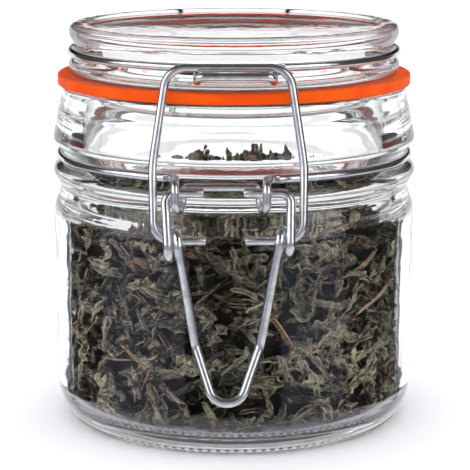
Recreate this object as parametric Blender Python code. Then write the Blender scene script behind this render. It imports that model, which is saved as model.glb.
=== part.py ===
"""Clip top jar: a round glass jar with a glass lid, a rubber seal and a sprung wire clasp, half full of tea leaves.

The jar stands on its base ring with the clasp towards -Y. Points are written in the jar's own frame, whose Z axis
is the axis of the glass, and one empty carries that frame to its place. The wires are bent round stock: each is a
path of corners with bend radii.
"""

import math
import random

import bmesh
import bpy
from mathutils import Vector

# Glass jar, in metres.
SEGMENTS = 48
BODY_RADIUS = 0.0456
BODY_TOP = 0.053
HEEL_WIDTH = 0.0065
HEEL_HEIGHT = 0.012
BEARING_INNER = 0.0365
BEARING_STEP = 0.0030
PUSH_UP = 0.0015
WAIST_RADIUS = 0.0440
WAIST_HEIGHT = 0.0597
BEAD_CENTRE = (0.0437, 0.0635)
BEAD_RADIUS = 0.00195
BULGE_CENTRE = (0.0434, 0.0718)
BULGE_RADIUS = 0.0022
RIM_RADIUS = 0.0432
RIM_HEIGHT = 0.0846
RIM_ROUND = 0.001
MOUTH_RADIUS = 0.0388
MOUTH_ROUND = 0.0005
CAVITY_RADIUS = 0.0420
CAVITY_SHOULDER = (
    (0.0388, 0.0650), (0.0390, 0.0600), (0.0394, 0.0568), (0.0401, 0.0552), (0.0418, 0.0532),
    (CAVITY_RADIUS, 0.0524),
)
CAVITY_FLOOR = 0.0042
CAVITY_HEEL_WIDTH = 0.0045
CAVITY_HEEL_HEIGHT = 0.0055

# Rubber seal.
FIT_GAP = 0.0003
SEAL_THICKNESS = 0.0027
SEAL_INNER = 0.0381
SEAL_OUTER = 0.0443
SEAL_ROUND = 0.0004

# Glass lid.
LID_TOP = 0.0999
LID_RADIUS = 0.0413
LID_CORNER = 0.0012
LID_EDGE_BOTTOM = 0.0975
LID_EDGE_ROUND = 0.0016
FLANGE_BEAD = 0.00195
FLANGE_CENTRE = (0.0396, 0.08985)
PLUG_RADIUS = 0.0369
PLUG_WALL = 0.0034
PLUG_TAPER = 0.0003
PLUG_ROUND = 0.0012
PLUG_BOTTOM = 0.0800
PLUG_INNER_RISE = 0.0042
DISH_RADIUS = 0.0359
DISH_COVE = 0.0013
DISH_COVE_END = -29
DISH_LIP_RADIUS = 0.0374
DISH_FLOOR = 0.09915
DISH_CENTRE_RADIUS = 0.0170
DISH_CENTRE_DEPTH = 0.0003
DISH_CENTRE_SLOPE = 0.0006
LID_UNDERSIDE = 0.0915
UNDERSIDE_COVES = ((0.0010, 0.0010), (0.0030, 0.0002))

# Wires.
WIRE_RADIUS = 0.0010
LEVER_WIRE_RADIUS = 0.0011
WIRE_CLEARANCE = 0.00035
RING_BEND = 0.0024
NECK_WIRE = (0.0439, 0.0674)
LID_WIRE = (0.0408, 0.0931)
EYELET_X = {"left": -0.0135, "right": 0.0076}
EYELET_SHIFT = 0.0016
EYELET_BOTTOM = 0.0613
EYELET_TOP = 0.0683
EYELET_WIDTH = 0.0050
FRONT_BAR_HEIGHT = 0.0662
FRONT_BAR_BEND = 0.0016
HINGE_BAR = (0.0474, 0.0860)
HINGE_HALF_WIDTH = 0.0192
EYE_X = 0.0147
EYE_RADIUS = 0.0024
EYE_TURN = (330, 60, 10)
EYE_LEAD_DEGREES = 60
EYE_LEAD_BEND = 0.0030
HOOK_X = {"left": -0.0084, "right": 0.0092}
HOOK_VALLEY = (-0.0434, 0.0902)
HOOK_LIP = (-0.0464, 0.09175)
HOOK_BEND = 0.0018
HOOK_VALLEY_BEND = 0.0015

# Lever and bail.
LEVER_PIVOT = (-0.0493, 0.0653)
LEVER_STUB_X = {"left": -0.0069, "right": 0.0022}
LEVER_ARCH_X = {"left": -0.0159, "right": 0.0132}
LEVER_ARCH_BEND = 0.0024
COIL_CENTRE_Y = -0.0505
COIL_TOP = 0.0569
COIL_RADIUS = {"left": 0.0033, "right": 0.0027}
COIL_TURN = (-20, 368, 16)
COIL_OUTER_X = {"left": -0.0152, "right": 0.0130}
COIL_INNER_X = {"left": -0.0127, "right": 0.0104}
KINK_X = {"left": -0.0089, "right": 0.0060}
KINK = (-0.0502, 0.0290)
KINK_BEND = 0.0044
LOOP_HALF_WIDTH = 0.0031
LOOP_MIDDLE_X = -0.0016
LOOP_BOTTOM = (-0.0550, 0.0169)
LOOP_BEND = 0.0040
BAIL_PIVOT = (-0.0505, 0.0543)
BAIL_STUB_X = {"left": -0.0064, "right": 0.0026}
BAIL_MIDDLE_X = -0.0013
BAIL_FOOT_HALF_WIDTH = 0.0172
BAIL_FOOT_BEND = 0.0045
BAIL_WAIST = (0.0175, -0.0477, 0.0712)
BAIL_WAIST_BEND = 0.0300
BAIL_BAR = (0.0141, -0.0440, 0.0936)
BAIL_BAR_BEND = 0.0050

# Tea.
TEA_SEED = 12
TEA_TOP = 0.0510
TEA_WALL_GAP = 0.0005
TEA_CORE_GAP = 0.0017
TEA_SEGMENTS = 24
SIDE_LEAVES = 44
TOP_LEAVES = 19
LEAF_LENGTH = (0.009, 0.018)
LEAF_WIDTH = (0.0025, 0.0055)
LEAF_THICKNESS = 0.0013
LEAF_STATIONS = 3

SIDES = {"left": -1, "right": 1}
JAR_AXIS_Y = -(HINGE_BAR[0] + EYE_RADIUS + LOOP_BOTTOM[0] - LEVER_WIRE_RADIUS + WIRE_RADIUS) / 2


def clear_scene():
    """Remove every object of the scene."""
    for thing in list(bpy.data.objects):
        bpy.data.objects.remove(thing, do_unlink=True)


def finish(name, colour, roughness, metallic=0.0, transmission=0.0):
    """Make one material with a single surface shader."""
    made = bpy.data.materials.new(name)
    made.use_nodes = True
    shader = made.node_tree.nodes["Principled BSDF"]
    shader.inputs["Base Color"].default_value = (*colour, 1.0)
    shader.inputs["Roughness"].default_value = roughness
    shader.inputs["Metallic"].default_value = metallic
    shader.inputs["Transmission Weight"].default_value = transmission
    return made


def axis_empty(name, place, parent=None):
    """An empty on an axis, given in the jar's frame, that carries the pieces of one body."""
    empty = bpy.data.objects.new(name, None)
    empty.empty_display_size = 0.01
    bpy.context.collection.objects.link(empty)
    empty.location = place
    if parent:
        empty.parent = parent[0]
        empty.location = Vector(place) - Vector(parent[1])
    return empty, place


def carry(thing, holder, material):
    """Hang a piece, modelled in the jar's frame, on the empty of its body."""
    bpy.context.collection.objects.link(thing)
    thing.data.materials.append(material)
    thing.parent = holder[0]
    thing.location = -Vector(holder[1])
    return thing


def arc(centre, radius, start, end, steps):
    """Points of an arc in the plane of a turned profile, with angles in degrees from +R towards +Z."""
    points = []
    for i in range(steps + 1):
        angle = math.radians(start + (end - start) * i / steps)
        points.append((centre[0] + radius * math.cos(angle), centre[1] + radius * math.sin(angle)))
    return points


def turned(name, profile, closed, segments):
    """A solid turned round the Z axis from a profile of (radius, height) points."""
    shape = bmesh.new()
    line = [shape.verts.new((radius, 0.0, height)) for radius, height in profile]
    edges = [shape.edges.new(pair) for pair in zip(line, line[1:])]
    if closed:
        edges.append(shape.edges.new((line[-1], line[0])))
    bmesh.ops.spin(
        shape,
        geom=line + edges,
        cent=(0, 0, 0),
        axis=(0, 0, 1),
        angle=2 * math.pi,
        steps=segments,
        use_merge=True,
    )
    bmesh.ops.remove_doubles(shape, verts=shape.verts, dist=1e-6)
    bmesh.ops.recalc_face_normals(shape, faces=shape.faces)
    mesh = bpy.data.meshes.new(name)
    shape.to_mesh(mesh)
    shape.free()
    mesh.shade_smooth()
    mesh.set_sharp_from_angle(angle=math.radians(40))
    return bpy.data.objects.new(name, mesh)


def cavity_radius(height):
    """Inner radius of the jar at a height: rounded heel, straight wall, then the shoulder up to the mouth."""
    for (upper_radius, upper), (lower_radius, lower) in zip(CAVITY_SHOULDER, CAVITY_SHOULDER[1:]):
        if lower < height:
            share = min(1.0, (height - lower) / (upper - lower))
            return lower_radius + (upper_radius - lower_radius) * share
    drop = max(0.0, CAVITY_FLOOR + CAVITY_HEEL_HEIGHT - height) / CAVITY_HEEL_HEIGHT
    return CAVITY_RADIUS - CAVITY_HEEL_WIDTH * (1 - math.sqrt(max(0.0, 1 - drop * drop)))


def jar_profile():
    """Outside from the base up to the rim, then the inside back down to the floor."""
    heel = []
    for i in range(6):
        angle = math.radians(18 * i)
        radius = BODY_RADIUS - HEEL_WIDTH + HEEL_WIDTH * math.sin(angle)
        heel.append((radius, HEEL_HEIGHT * (1 - math.cos(angle))))
    shoulder = []
    for share in (0.0, 0.35, 0.7, 1.0):
        swell = math.sin(share * math.pi / 2) ** 2
        radius = BODY_RADIUS + (WAIST_RADIUS - BODY_RADIUS) * swell
        shoulder.append((radius, BODY_TOP + (WAIST_HEIGHT - BODY_TOP) * share))
    rim_centre = (RIM_RADIUS - RIM_ROUND, RIM_HEIGHT - RIM_ROUND)
    outside = [(0.0, PUSH_UP), (BEARING_INNER - BEARING_STEP, PUSH_UP), (BEARING_INNER, 0.0)]
    outside += heel + shoulder
    outside += arc(BEAD_CENTRE, BEAD_RADIUS, -50, 50, 2)
    outside += arc(NECK_WIRE, WIRE_RADIUS + WIRE_CLEARANCE, 240, 120, 2)
    outside += arc(BULGE_CENTRE, BULGE_RADIUS, -50, 20, 2)
    outside += arc(rim_centre, RIM_ROUND, 0, 90, 2)
    inside = [(MOUTH_RADIUS + MOUTH_ROUND, RIM_HEIGHT), (MOUTH_RADIUS, RIM_HEIGHT - MOUTH_ROUND)]
    inside += CAVITY_SHOULDER
    for share in (1.0, 0.75, 0.5, 0.25, 0.08, 0.0):
        height = CAVITY_FLOOR + CAVITY_HEEL_HEIGHT * share
        inside.append((cavity_radius(height), height))
    return outside + inside + [(0.0, CAVITY_FLOOR)]


def lid_profile():
    """Top of the lid from its centre out, round the rim and the wire groove, then the plug and the underside."""
    top = [
        (0.0, DISH_FLOOR - DISH_CENTRE_DEPTH),
        (DISH_CENTRE_RADIUS, DISH_FLOOR - DISH_CENTRE_DEPTH),
        (DISH_CENTRE_RADIUS + DISH_CENTRE_SLOPE, DISH_FLOOR),
    ]
    top += arc((DISH_RADIUS, DISH_FLOOR + DISH_COVE), DISH_COVE, -90, DISH_COVE_END, 1)
    top.append((DISH_LIP_RADIUS, LID_TOP))
    side = arc((LID_RADIUS - LID_CORNER, LID_TOP - LID_CORNER), LID_CORNER, 90, 0, 2)
    side += arc((LID_RADIUS - LID_EDGE_ROUND, LID_EDGE_BOTTOM), LID_EDGE_ROUND, 0, -45, 1)
    side += arc(LID_WIRE, WIRE_RADIUS + WIRE_CLEARANCE, 140, 220, 2)
    side += arc(FLANGE_CENTRE, FLANGE_BEAD, 55, -60, 3)
    seat = RIM_HEIGHT + SEAL_THICKNESS + 2 * FIT_GAP
    plug = [
        (FLANGE_CENTRE[0], seat),
        (PLUG_RADIUS + MOUTH_ROUND, seat),
        (PLUG_RADIUS, seat - MOUTH_ROUND),
        (PLUG_RADIUS - PLUG_TAPER, PLUG_BOTTOM + PLUG_ROUND),
        (PLUG_RADIUS - PLUG_ROUND, PLUG_BOTTOM),
        (PLUG_RADIUS - 2 * PLUG_ROUND, PLUG_BOTTOM + PLUG_TAPER),
        (PLUG_RADIUS - PLUG_WALL, PLUG_BOTTOM + PLUG_INNER_RISE),
    ]
    plug += [(PLUG_RADIUS - PLUG_WALL - inset, LID_UNDERSIDE - drop) for inset, drop in UNDERSIDE_COVES]
    return top + side + plug + [(0.0, LID_UNDERSIDE)]


def seal_profile():
    """Section of the flat rubber ring, with its outer edges eased."""
    low = RIM_HEIGHT + FIT_GAP
    high = low + SEAL_THICKNESS
    return [
        (SEAL_INNER, low),
        (SEAL_OUTER - SEAL_ROUND, low),
        (SEAL_OUTER, low + SEAL_ROUND),
        (SEAL_OUTER, high - SEAL_ROUND),
        (SEAL_OUTER - SEAL_ROUND, high),
        (SEAL_INNER, high),
    ]


def bent(corners, degrees_per_point=24):
    """Points along a wire bent at its corners. Each corner is (point, bend radius), and 0 means no bend there."""
    path = [Vector(corners[0][0])]
    for before, (corner, radius), after in zip(corners, corners[1:], corners[2:]):
        corner = Vector(corner)
        arriving = (corner - Vector(before[0])).normalized()
        leaving = (Vector(after[0]) - corner).normalized()
        turn = arriving.angle(leaving)
        if radius == 0 or turn < math.radians(3):
            path.append(corner)
            continue
        start = corner - arriving * radius * math.tan(turn / 2)
        normal = (leaving - arriving * leaving.dot(arriving)).normalized()
        steps = max(2, math.ceil(math.degrees(turn) / degrees_per_point))
        for i in range(steps + 1):
            angle = turn * i / steps
            path.append(start + arriving * radius * math.sin(angle) + normal * radius * (1 - math.cos(angle)))
    path.append(Vector(corners[-1][0]))
    return path


def wire(name, path, radius, cyclic=False, resolution=2):
    """Round wire along a path: a bevelled curve with flat ends, as cut stock has."""
    curve = bpy.data.curves.new(name, "CURVE")
    curve.dimensions = "3D"
    curve.bevel_depth = radius
    curve.bevel_resolution = resolution
    curve.use_fill_caps = not cyclic
    kept = [path[0]]
    for point in path[1:]:
        if (point - kept[-1]).length > radius * 0.2:
            kept.append(point)
    spline = curve.splines.new("POLY")
    spline.points.add(len(kept) - 1)
    for slot, point in zip(spline.points, kept):
        slot.co = (*point, 1.0)
    spline.use_cyclic_u = cyclic
    spline.use_smooth = True
    return bpy.data.objects.new(name, curve)


def ring_arc(ring, start, end, steps):
    """Corners with no bend along a ring in its groove, from one (x, y) direction to another, the short way in sign."""
    radius, height = ring
    corners = []
    for i in range(1, steps):
        angle = start + (end - start) * i / steps
        corners.append(((radius * math.cos(angle), radius * math.sin(angle), height), 0))
    return corners


def on_ring(ring, x, front):
    """The point of a ring at a given X, on its front or its rear half, and its angle."""
    radius, height = ring
    y = math.sqrt(radius * radius - x * x) * (-1 if front else 1)
    return (x, y, height), math.atan2(y, x)


def eyelet(side):
    """Corners of the upright loop in which the lever pivots, from the ring's side to the front bar's side."""
    outer = EYELET_X[side]
    inner = outer - SIDES[side] * EYELET_SHIFT
    back = LEVER_PIVOT[0] + EYELET_WIDTH / 2
    front = LEVER_PIVOT[0] - EYELET_WIDTH / 2
    bend = EYELET_WIDTH / 2 - 0.00005
    return [
        ((outer, front, EYELET_TOP), bend),
        ((outer, front, EYELET_BOTTOM), bend),
        ((inner, back, EYELET_BOTTOM), bend),
        ((inner, back, FRONT_BAR_HEIGHT), FRONT_BAR_BEND),
    ]


def neck_wire_path():
    """One closed wire: front bar, eyelet, ring, rear hinge frame, ring and the other eyelet."""
    left_front, left_angle = on_ring(NECK_WIRE, EYELET_X["left"], True)
    right_front, right_angle = on_ring(NECK_WIRE, EYELET_X["right"], True)
    left_rear, left_rear_angle = on_ring(NECK_WIRE, -HINGE_HALF_WIDTH, False)
    right_rear, right_rear_angle = on_ring(NECK_WIRE, HINGE_HALF_WIDTH, False)
    bar_y, bar_z = HINGE_BAR
    middle = ((EYELET_X["left"] + EYELET_X["right"]) / 2, LEVER_PIVOT[0] + EYELET_WIDTH / 2, FRONT_BAR_HEIGHT)
    corners = [(middle, 0)]
    corners += reversed(eyelet("right"))
    corners.append((right_front, RING_BEND))
    corners += ring_arc(NECK_WIRE, right_angle, right_rear_angle, 19)
    corners.append((right_rear, RING_BEND))
    for side in (1, -1):
        frame = [((side * HINGE_HALF_WIDTH, bar_y, NECK_WIRE[1]), RING_BEND)]
        frame.append(((side * HINGE_HALF_WIDTH, bar_y, bar_z), RING_BEND))
        corners += frame if side == 1 else reversed(frame)
    corners.append((left_rear, RING_BEND))
    corners += ring_arc(NECK_WIRE, left_rear_angle, left_angle + 2 * math.pi, 18)
    corners.append((left_front, RING_BEND))
    corners += eyelet("left")
    corners.append((middle, 0))
    return bent(corners)[:-1]


def hinge_eye(side):
    """The curled end of the lid wire round the hinge bar, from its cut end to the straight that leads to the ring."""
    x = SIDES[side] * EYE_X
    points = []
    first, last, steps = EYE_TURN
    for i in range(steps + 1):
        angle = math.radians(first + (last - first) * i / steps)
        y = HINGE_BAR[0] + EYE_RADIUS * math.sin(angle)
        points.append(((x, y, HINGE_BAR[1] + EYE_RADIUS * math.cos(angle)), 0))
    _, start_y, start_z = points[-1][0]
    rise = LID_WIRE[1] - start_z
    run = rise / math.tan(math.radians(EYE_LEAD_DEGREES))
    points.append(((x, start_y - run, LID_WIRE[1]), EYE_LEAD_BEND))
    return points


def lid_wire_path():
    """Rear eye, ring round the lid to the front hook, and back to the other rear eye."""
    left_rear, left_rear_angle = on_ring(LID_WIRE, -EYE_X, False)
    right_rear, right_rear_angle = on_ring(LID_WIRE, EYE_X, False)
    left_front, left_angle = on_ring(LID_WIRE, HOOK_X["left"], True)
    right_front, right_angle = on_ring(LID_WIRE, HOOK_X["right"], True)
    corners = hinge_eye("left")
    corners.append((left_rear, HOOK_BEND))
    corners += ring_arc(LID_WIRE, left_rear_angle, left_angle + 2 * math.pi, 20)
    corners.append((left_front, HOOK_BEND))
    corners.append(((HOOK_X["left"], *HOOK_VALLEY), HOOK_VALLEY_BEND))
    corners.append(((HOOK_X["left"], *HOOK_LIP), HOOK_BEND))
    corners.append(((HOOK_X["right"], *HOOK_LIP), HOOK_BEND))
    corners.append(((HOOK_X["right"], *HOOK_VALLEY), HOOK_VALLEY_BEND))
    corners.append((right_front, HOOK_BEND))
    corners += ring_arc(LID_WIRE, right_angle, right_rear_angle, 20)
    corners.append((right_rear, HOOK_BEND))
    corners += reversed(hinge_eye("right"))
    return bent(corners)


def lever_side(side):
    """One half of the lever: pivot stub, arch, leg, one turn round the bail's stub, and the arm to the kink."""
    y, z = LEVER_PIVOT
    radius = COIL_RADIUS[side]
    centre_z = COIL_TOP - radius
    corners = [
        ((LEVER_STUB_X[side], y, z), 0),
        ((LEVER_ARCH_X[side], y, z), LEVER_ARCH_BEND),
    ]
    first, last, steps = COIL_TURN
    for degrees in [first + (last - first) * i / steps for i in range(steps + 1)]:
        angle = math.radians(degrees)
        share = min(1.0, max(0.0, degrees / 360))
        x = COIL_OUTER_X[side] + (COIL_INNER_X[side] - COIL_OUTER_X[side]) * share
        turn_y = COIL_CENTRE_Y - radius * math.cos(angle)
        corners.append(((x, turn_y, centre_z - radius * math.sin(angle)), 0))
    corners.append(((KINK_X[side], *KINK), KINK_BEND))
    foot_x = LOOP_MIDDLE_X + SIDES[side] * LOOP_HALF_WIDTH
    corners.append(((foot_x, *LOOP_BOTTOM), LOOP_BEND))
    return corners


def lever_path():
    """The lever's one wire, from its left stub round the thumb loop to its right stub."""
    return bent(lever_side("left") + list(reversed(lever_side("right"))))


def bail_path():
    """The bail's one wire: stub, leg, top bar, leg and stub."""
    half = []
    for side in ("left", "right"):
        sign = SIDES[side]
        corners = [((BAIL_STUB_X[side], *BAIL_PIVOT), 0)]
        corners.append(((BAIL_MIDDLE_X + sign * BAIL_FOOT_HALF_WIDTH, *BAIL_PIVOT), BAIL_FOOT_BEND))
        corners.append(((BAIL_MIDDLE_X + sign * BAIL_WAIST[0], *BAIL_WAIST[1:]), BAIL_WAIST_BEND))
        corners.append(((BAIL_MIDDLE_X + sign * BAIL_BAR[0], *BAIL_BAR[1:]), BAIL_BAR_BEND))
        half.append(corners)
    return bent(half[0] + list(reversed(half[1])), degrees_per_point=18)


def tea_surface(x, y):
    """Height of the tea's uneven top."""
    wave = math.sin(110 * x + 1.3) * math.cos(95 * y - 0.4) + 0.6 * math.sin(210 * (x + y))
    return TEA_TOP + 0.0012 * wave


def tea_core():
    """The packed middle of the tea, a little inside the glass, with an uneven top."""
    profile = [(0.0, CAVITY_FLOOR + 0.0008)]
    for share in (0.09, 0.4, 1.0, 3.0):
        height = CAVITY_FLOOR + CAVITY_HEEL_HEIGHT * share
        profile.append((cavity_radius(height) - TEA_CORE_GAP, height))
    edge = CAVITY_RADIUS - TEA_CORE_GAP
    top = [(edge, TEA_TOP - 0.002)]
    top += [(edge * share, TEA_TOP) for share in (0.92, 0.7, 0.45, 0.2, 0.0)]
    core = turned("tea", profile + top, False, TEA_SEGMENTS)
    for vertex in core.data.vertices:
        if vertex.co.z >= TEA_TOP - 1e-5:
            vertex.co.z = tea_surface(vertex.co.x, vertex.co.y)
    return core


def leaf_solid(name, stations):
    """A thin wavy leaf. Each station is (upper left, upper right, lower right, lower left)."""
    mesh = bpy.data.meshes.new(name)
    points = [corner for station in stations for corner in station]
    faces = [(0, 1, 2), (0, 2, 3)]
    for i in range(len(stations) - 1):
        base = 4 * i
        for a in range(4):
            b = (a + 1) % 4
            faces.append((base + a, base + 4 + b, base + b))
            faces.append((base + a, base + 4 + a, base + 4 + b))
    last = 4 * (len(stations) - 1)
    faces += [(last, last + 2, last + 1), (last, last + 3, last + 2)]
    mesh.from_pydata(points, [], faces)
    shape = bmesh.new()
    shape.from_mesh(mesh)
    bmesh.ops.recalc_face_normals(shape, faces=shape.faces)
    shape.to_mesh(mesh)
    shape.free()
    return bpy.data.objects.new(name, mesh)


def leaf_outline(draw, share):
    """Half width of a leaf at a share of its length, full in the middle and narrow at the ends."""
    return draw["width"] * (0.25 + 0.75 * math.sin(math.pi * (0.12 + 0.76 * share))) / 2


def side_leaf(name, draw):
    """A leaf that lies against the glass, curved with the wall."""
    stations = []
    for i in range(LEAF_STATIONS):
        share = i / (LEAF_STATIONS - 1)
        along = draw["length"] * (share - 0.5)
        sway = draw["sway"] * math.sin(math.pi * share)
        half = leaf_outline(draw, share)
        rows = []
        for across in (-half, half):
            run = along * math.cos(draw["lean"]) - (across + sway) * math.sin(draw["lean"])
            rise = along * math.sin(draw["lean"]) + (across + sway) * math.cos(draw["lean"])
            height = draw["height"] + rise
            angle = draw["angle"] + run / CAVITY_RADIUS
            lift = draw["wave"] * (1 + math.sin(6 * share + draw["phase"])) / 2
            outer = cavity_radius(height) - TEA_WALL_GAP - lift
            rows.append((outer, angle, height))
        corners = []
        for depth, row in ((0, rows[0]), (0, rows[1]), (LEAF_THICKNESS, rows[1]), (LEAF_THICKNESS, rows[0])):
            radius = row[0] - depth
            corners.append((radius * math.cos(row[1]), radius * math.sin(row[1]), row[2]))
        stations.append(corners)
    return leaf_solid(name, stations)


def top_leaf(name, draw):
    """A leaf that lies or stands up a little on top of the heap."""
    direction = Vector((math.cos(draw["lean"]), math.sin(draw["lean"]), draw["tilt"])).normalized()
    side = Vector((-math.sin(draw["lean"]), math.cos(draw["lean"]), draw["roll"])).normalized()
    normal = direction.cross(side).normalized()
    x = draw["radius"] * math.cos(draw["angle"])
    y = draw["radius"] * math.sin(draw["angle"])
    middle = Vector((x, y, tea_surface(x, y) + LEAF_THICKNESS * 0.35))
    stations = []
    for i in range(LEAF_STATIONS):
        share = i / (LEAF_STATIONS - 1)
        half = leaf_outline(draw, share)
        curl = normal * draw["wave"] * 2 * math.sin(math.pi * share + draw["phase"])
        point = middle + direction * draw["length"] * (share - 0.5) + side * draw["sway"] * math.sin(math.pi * share)
        point += curl
        thick = normal * LEAF_THICKNESS * 0.5
        stations.append(
            (point - side * half + thick, point + side * half + thick, point + side * half - thick,
             point - side * half - thick)
        )
    return leaf_solid(name, stations)


def leaf_draws(rng, index, count):
    """One leaf's size, place and lean, spread evenly by the golden angle and then shaken."""
    return {
        "length": rng.uniform(*LEAF_LENGTH),
        "width": rng.uniform(*LEAF_WIDTH),
        "sway": rng.uniform(-0.0015, 0.0015),
        "wave": rng.uniform(0.0001, 0.0007),
        "phase": rng.uniform(0, 6.28),
        "lean": rng.gauss(0, 0.7),
        "tilt": rng.uniform(-0.2, 0.2),
        "roll": rng.uniform(-0.3, 0.3),
        "angle": index * math.pi * (3 - math.sqrt(5)) + rng.uniform(-0.15, 0.15),
        "height": 0.0135 + (TEA_TOP - 0.0175) * ((index + 0.5) / count) + rng.uniform(-0.001, 0.001),
        "radius": 0.036 * math.sqrt((index + 0.5) / count),
    }


def inside_cavity(leaf):
    """Whether every corner of a leaf is clear of the glass and of the floor."""
    for vertex in leaf.data.vertices:
        x, y, z = vertex.co
        if z < CAVITY_FLOOR + 0.0015 or z > TEA_TOP + 0.006:
            return False
        if math.hypot(x, y) > cavity_radius(z) - TEA_WALL_GAP + 1e-6:
            return False
    return True


def keep_largest_body(mesh):
    """Drop loose scraps and the walls of sealed hollows, and keep the one outer body."""
    shape = bmesh.new()
    shape.from_mesh(mesh)
    bmesh.ops.remove_doubles(shape, verts=shape.verts, dist=1e-6)
    unseen = set(shape.verts)
    bodies = []
    while unseen:
        stack = [unseen.pop()]
        body = []
        while stack:
            vertex = stack.pop()
            body.append(vertex)
            for edge in vertex.link_edges:
                other = edge.other_vert(vertex)
                if other in unseen:
                    unseen.remove(other)
                    stack.append(other)
        bodies.append(body)
    largest = max(bodies, key=lambda body: max(v.co.x for v in body) - min(v.co.x for v in body))
    for body in bodies:
        if body is not largest:
            bmesh.ops.delete(shape, geom=body, context="VERTS")
    bmesh.ops.triangulate(shape, faces=shape.faces)
    bmesh.ops.recalc_face_normals(shape, faces=shape.faces)
    shape.to_mesh(mesh)
    shape.free()


def tea_heap(holder, material):
    """The tea: one solid of the packed core with the leaves that show fused to it."""
    rng = random.Random(TEA_SEED)
    leaves = bpy.data.collections.new("tea_leaves")
    bpy.context.scene.collection.children.link(leaves)
    for count, make in ((SIDE_LEAVES, side_leaf), (TOP_LEAVES, top_leaf)):
        for index in range(count):
            leaf = make(f"leaf_{make.__name__}_{index}", leaf_draws(rng, index, count))
            if inside_cavity(leaf):
                leaves.objects.link(leaf)
            else:
                bpy.data.objects.remove(leaf)
    core = carry(tea_core(), holder, material)
    core.parent = None
    core.location = (0, 0, 0)
    union = core.modifiers.new("fuse_leaves", "BOOLEAN")
    union.operation = "UNION"
    union.operand_type = "COLLECTION"
    union.collection = leaves
    union.solver = "MANIFOLD"
    bpy.context.view_layer.update()
    fused = bpy.data.meshes.new_from_object(core.evaluated_get(bpy.context.evaluated_depsgraph_get()))
    core.modifiers.clear()
    core.data = fused
    for leaf in list(leaves.objects):
        bpy.data.objects.remove(leaf, do_unlink=True)
    bpy.data.collections.remove(leaves)
    keep_largest_body(core.data)
    core.parent = holder[0]
    core.location = -Vector(holder[1])
    return core


def main():
    """Build every piece and hang it on the empty of its body."""
    clear_scene()
    glass = finish("clear_glass", (0.93, 0.96, 0.94), 0.03, transmission=1.0)
    rubber = finish("orange_rubber", (0.85, 0.17, 0.01), 0.55)
    plated = finish("zinc_plated_wire", (0.66, 0.67, 0.68), 0.22, metallic=1.0)
    dry_leaf = finish("dried_leaf", (0.085, 0.065, 0.045), 0.8)

    jar_body = axis_empty("jar_axis", (0.0, 0.0, 0.0))
    jar_body[0].location.y = JAR_AXIS_Y
    lid_body = axis_empty("lid_hinge_axis", (0.0, *HINGE_BAR), jar_body)
    lever_body = axis_empty("lever_pivot_axis", (0.0, *LEVER_PIVOT), jar_body)
    bail_body = axis_empty("bail_pivot_axis", (0.0, *BAIL_PIVOT), lever_body)

    carry(turned("jar", jar_profile(), False, SEGMENTS), jar_body, glass)
    carry(wire("neck_wire", neck_wire_path(), WIRE_RADIUS, cyclic=True, resolution=1), jar_body, plated)
    tea_heap(jar_body, dry_leaf)

    carry(turned("lid", lid_profile(), False, SEGMENTS), lid_body, glass)
    carry(turned("gasket", seal_profile(), True, SEGMENTS), lid_body, rubber)
    carry(wire("lid_wire", lid_wire_path(), WIRE_RADIUS, resolution=1), lid_body, plated)

    carry(wire("lever", lever_path(), LEVER_WIRE_RADIUS), lever_body, plated)
    carry(wire("bail", bail_path(), WIRE_RADIUS), bail_body, plated)


main()
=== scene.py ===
"""Clip top jar of loose tea: pressed glass jar and lid, rubber seal, wire clasp and a heap of dried leaves.

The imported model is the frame. Each visible piece stands for one of its nodes, in the same place and to the
same sizes, with finer turning, real loose leaves and a finish of its own. Lengths are in metres.
"""

import logging
import math
from dataclasses import dataclass, field
from enum import Enum

import bmesh
import bpy
import numpy as np
from mathutils import Euler, Matrix, Vector


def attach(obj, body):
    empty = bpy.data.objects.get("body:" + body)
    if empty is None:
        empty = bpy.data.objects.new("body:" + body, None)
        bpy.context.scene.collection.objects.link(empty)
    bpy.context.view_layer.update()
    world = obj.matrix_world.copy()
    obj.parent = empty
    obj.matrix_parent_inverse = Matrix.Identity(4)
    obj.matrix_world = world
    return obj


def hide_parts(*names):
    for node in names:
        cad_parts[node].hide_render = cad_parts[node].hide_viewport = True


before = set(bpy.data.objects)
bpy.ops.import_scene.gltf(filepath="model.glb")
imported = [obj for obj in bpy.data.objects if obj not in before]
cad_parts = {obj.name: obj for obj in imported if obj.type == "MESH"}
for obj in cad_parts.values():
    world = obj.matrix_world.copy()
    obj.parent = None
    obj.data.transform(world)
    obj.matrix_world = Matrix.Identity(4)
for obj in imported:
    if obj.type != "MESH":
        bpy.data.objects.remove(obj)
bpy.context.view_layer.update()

LOG = logging.getLogger("clip_top_jar")
JAR_AXIS_Y = 0.00265
# The turn from one leaf to the next that spreads leaves evenly round the wall.
GOLDEN_ANGLE = 2.399963
# The step that spreads the leaves' pattern seeds evenly from 0 to 1.
GOLDEN_SHARE = 0.618034
# How far from a corner a long straight stretch gets a point, so that its shading stays flat.
SUPPORT = 0.0006

Point = tuple[float, float, float]
Profile = list[tuple[float, float]]
Corner = tuple[Point, float]
Colour = tuple[float, float, float]


class Side(Enum):
    """The two sides of the clasp, seen from the front."""

    LEFT = -1
    RIGHT = 1


class Bed(Enum):
    """Where leaves of the tea lie."""

    WALL = "against the glass wall"
    TOP = "on top of the heap"
    FLOOR = "on the glass floor"


# Shader trees.


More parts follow.
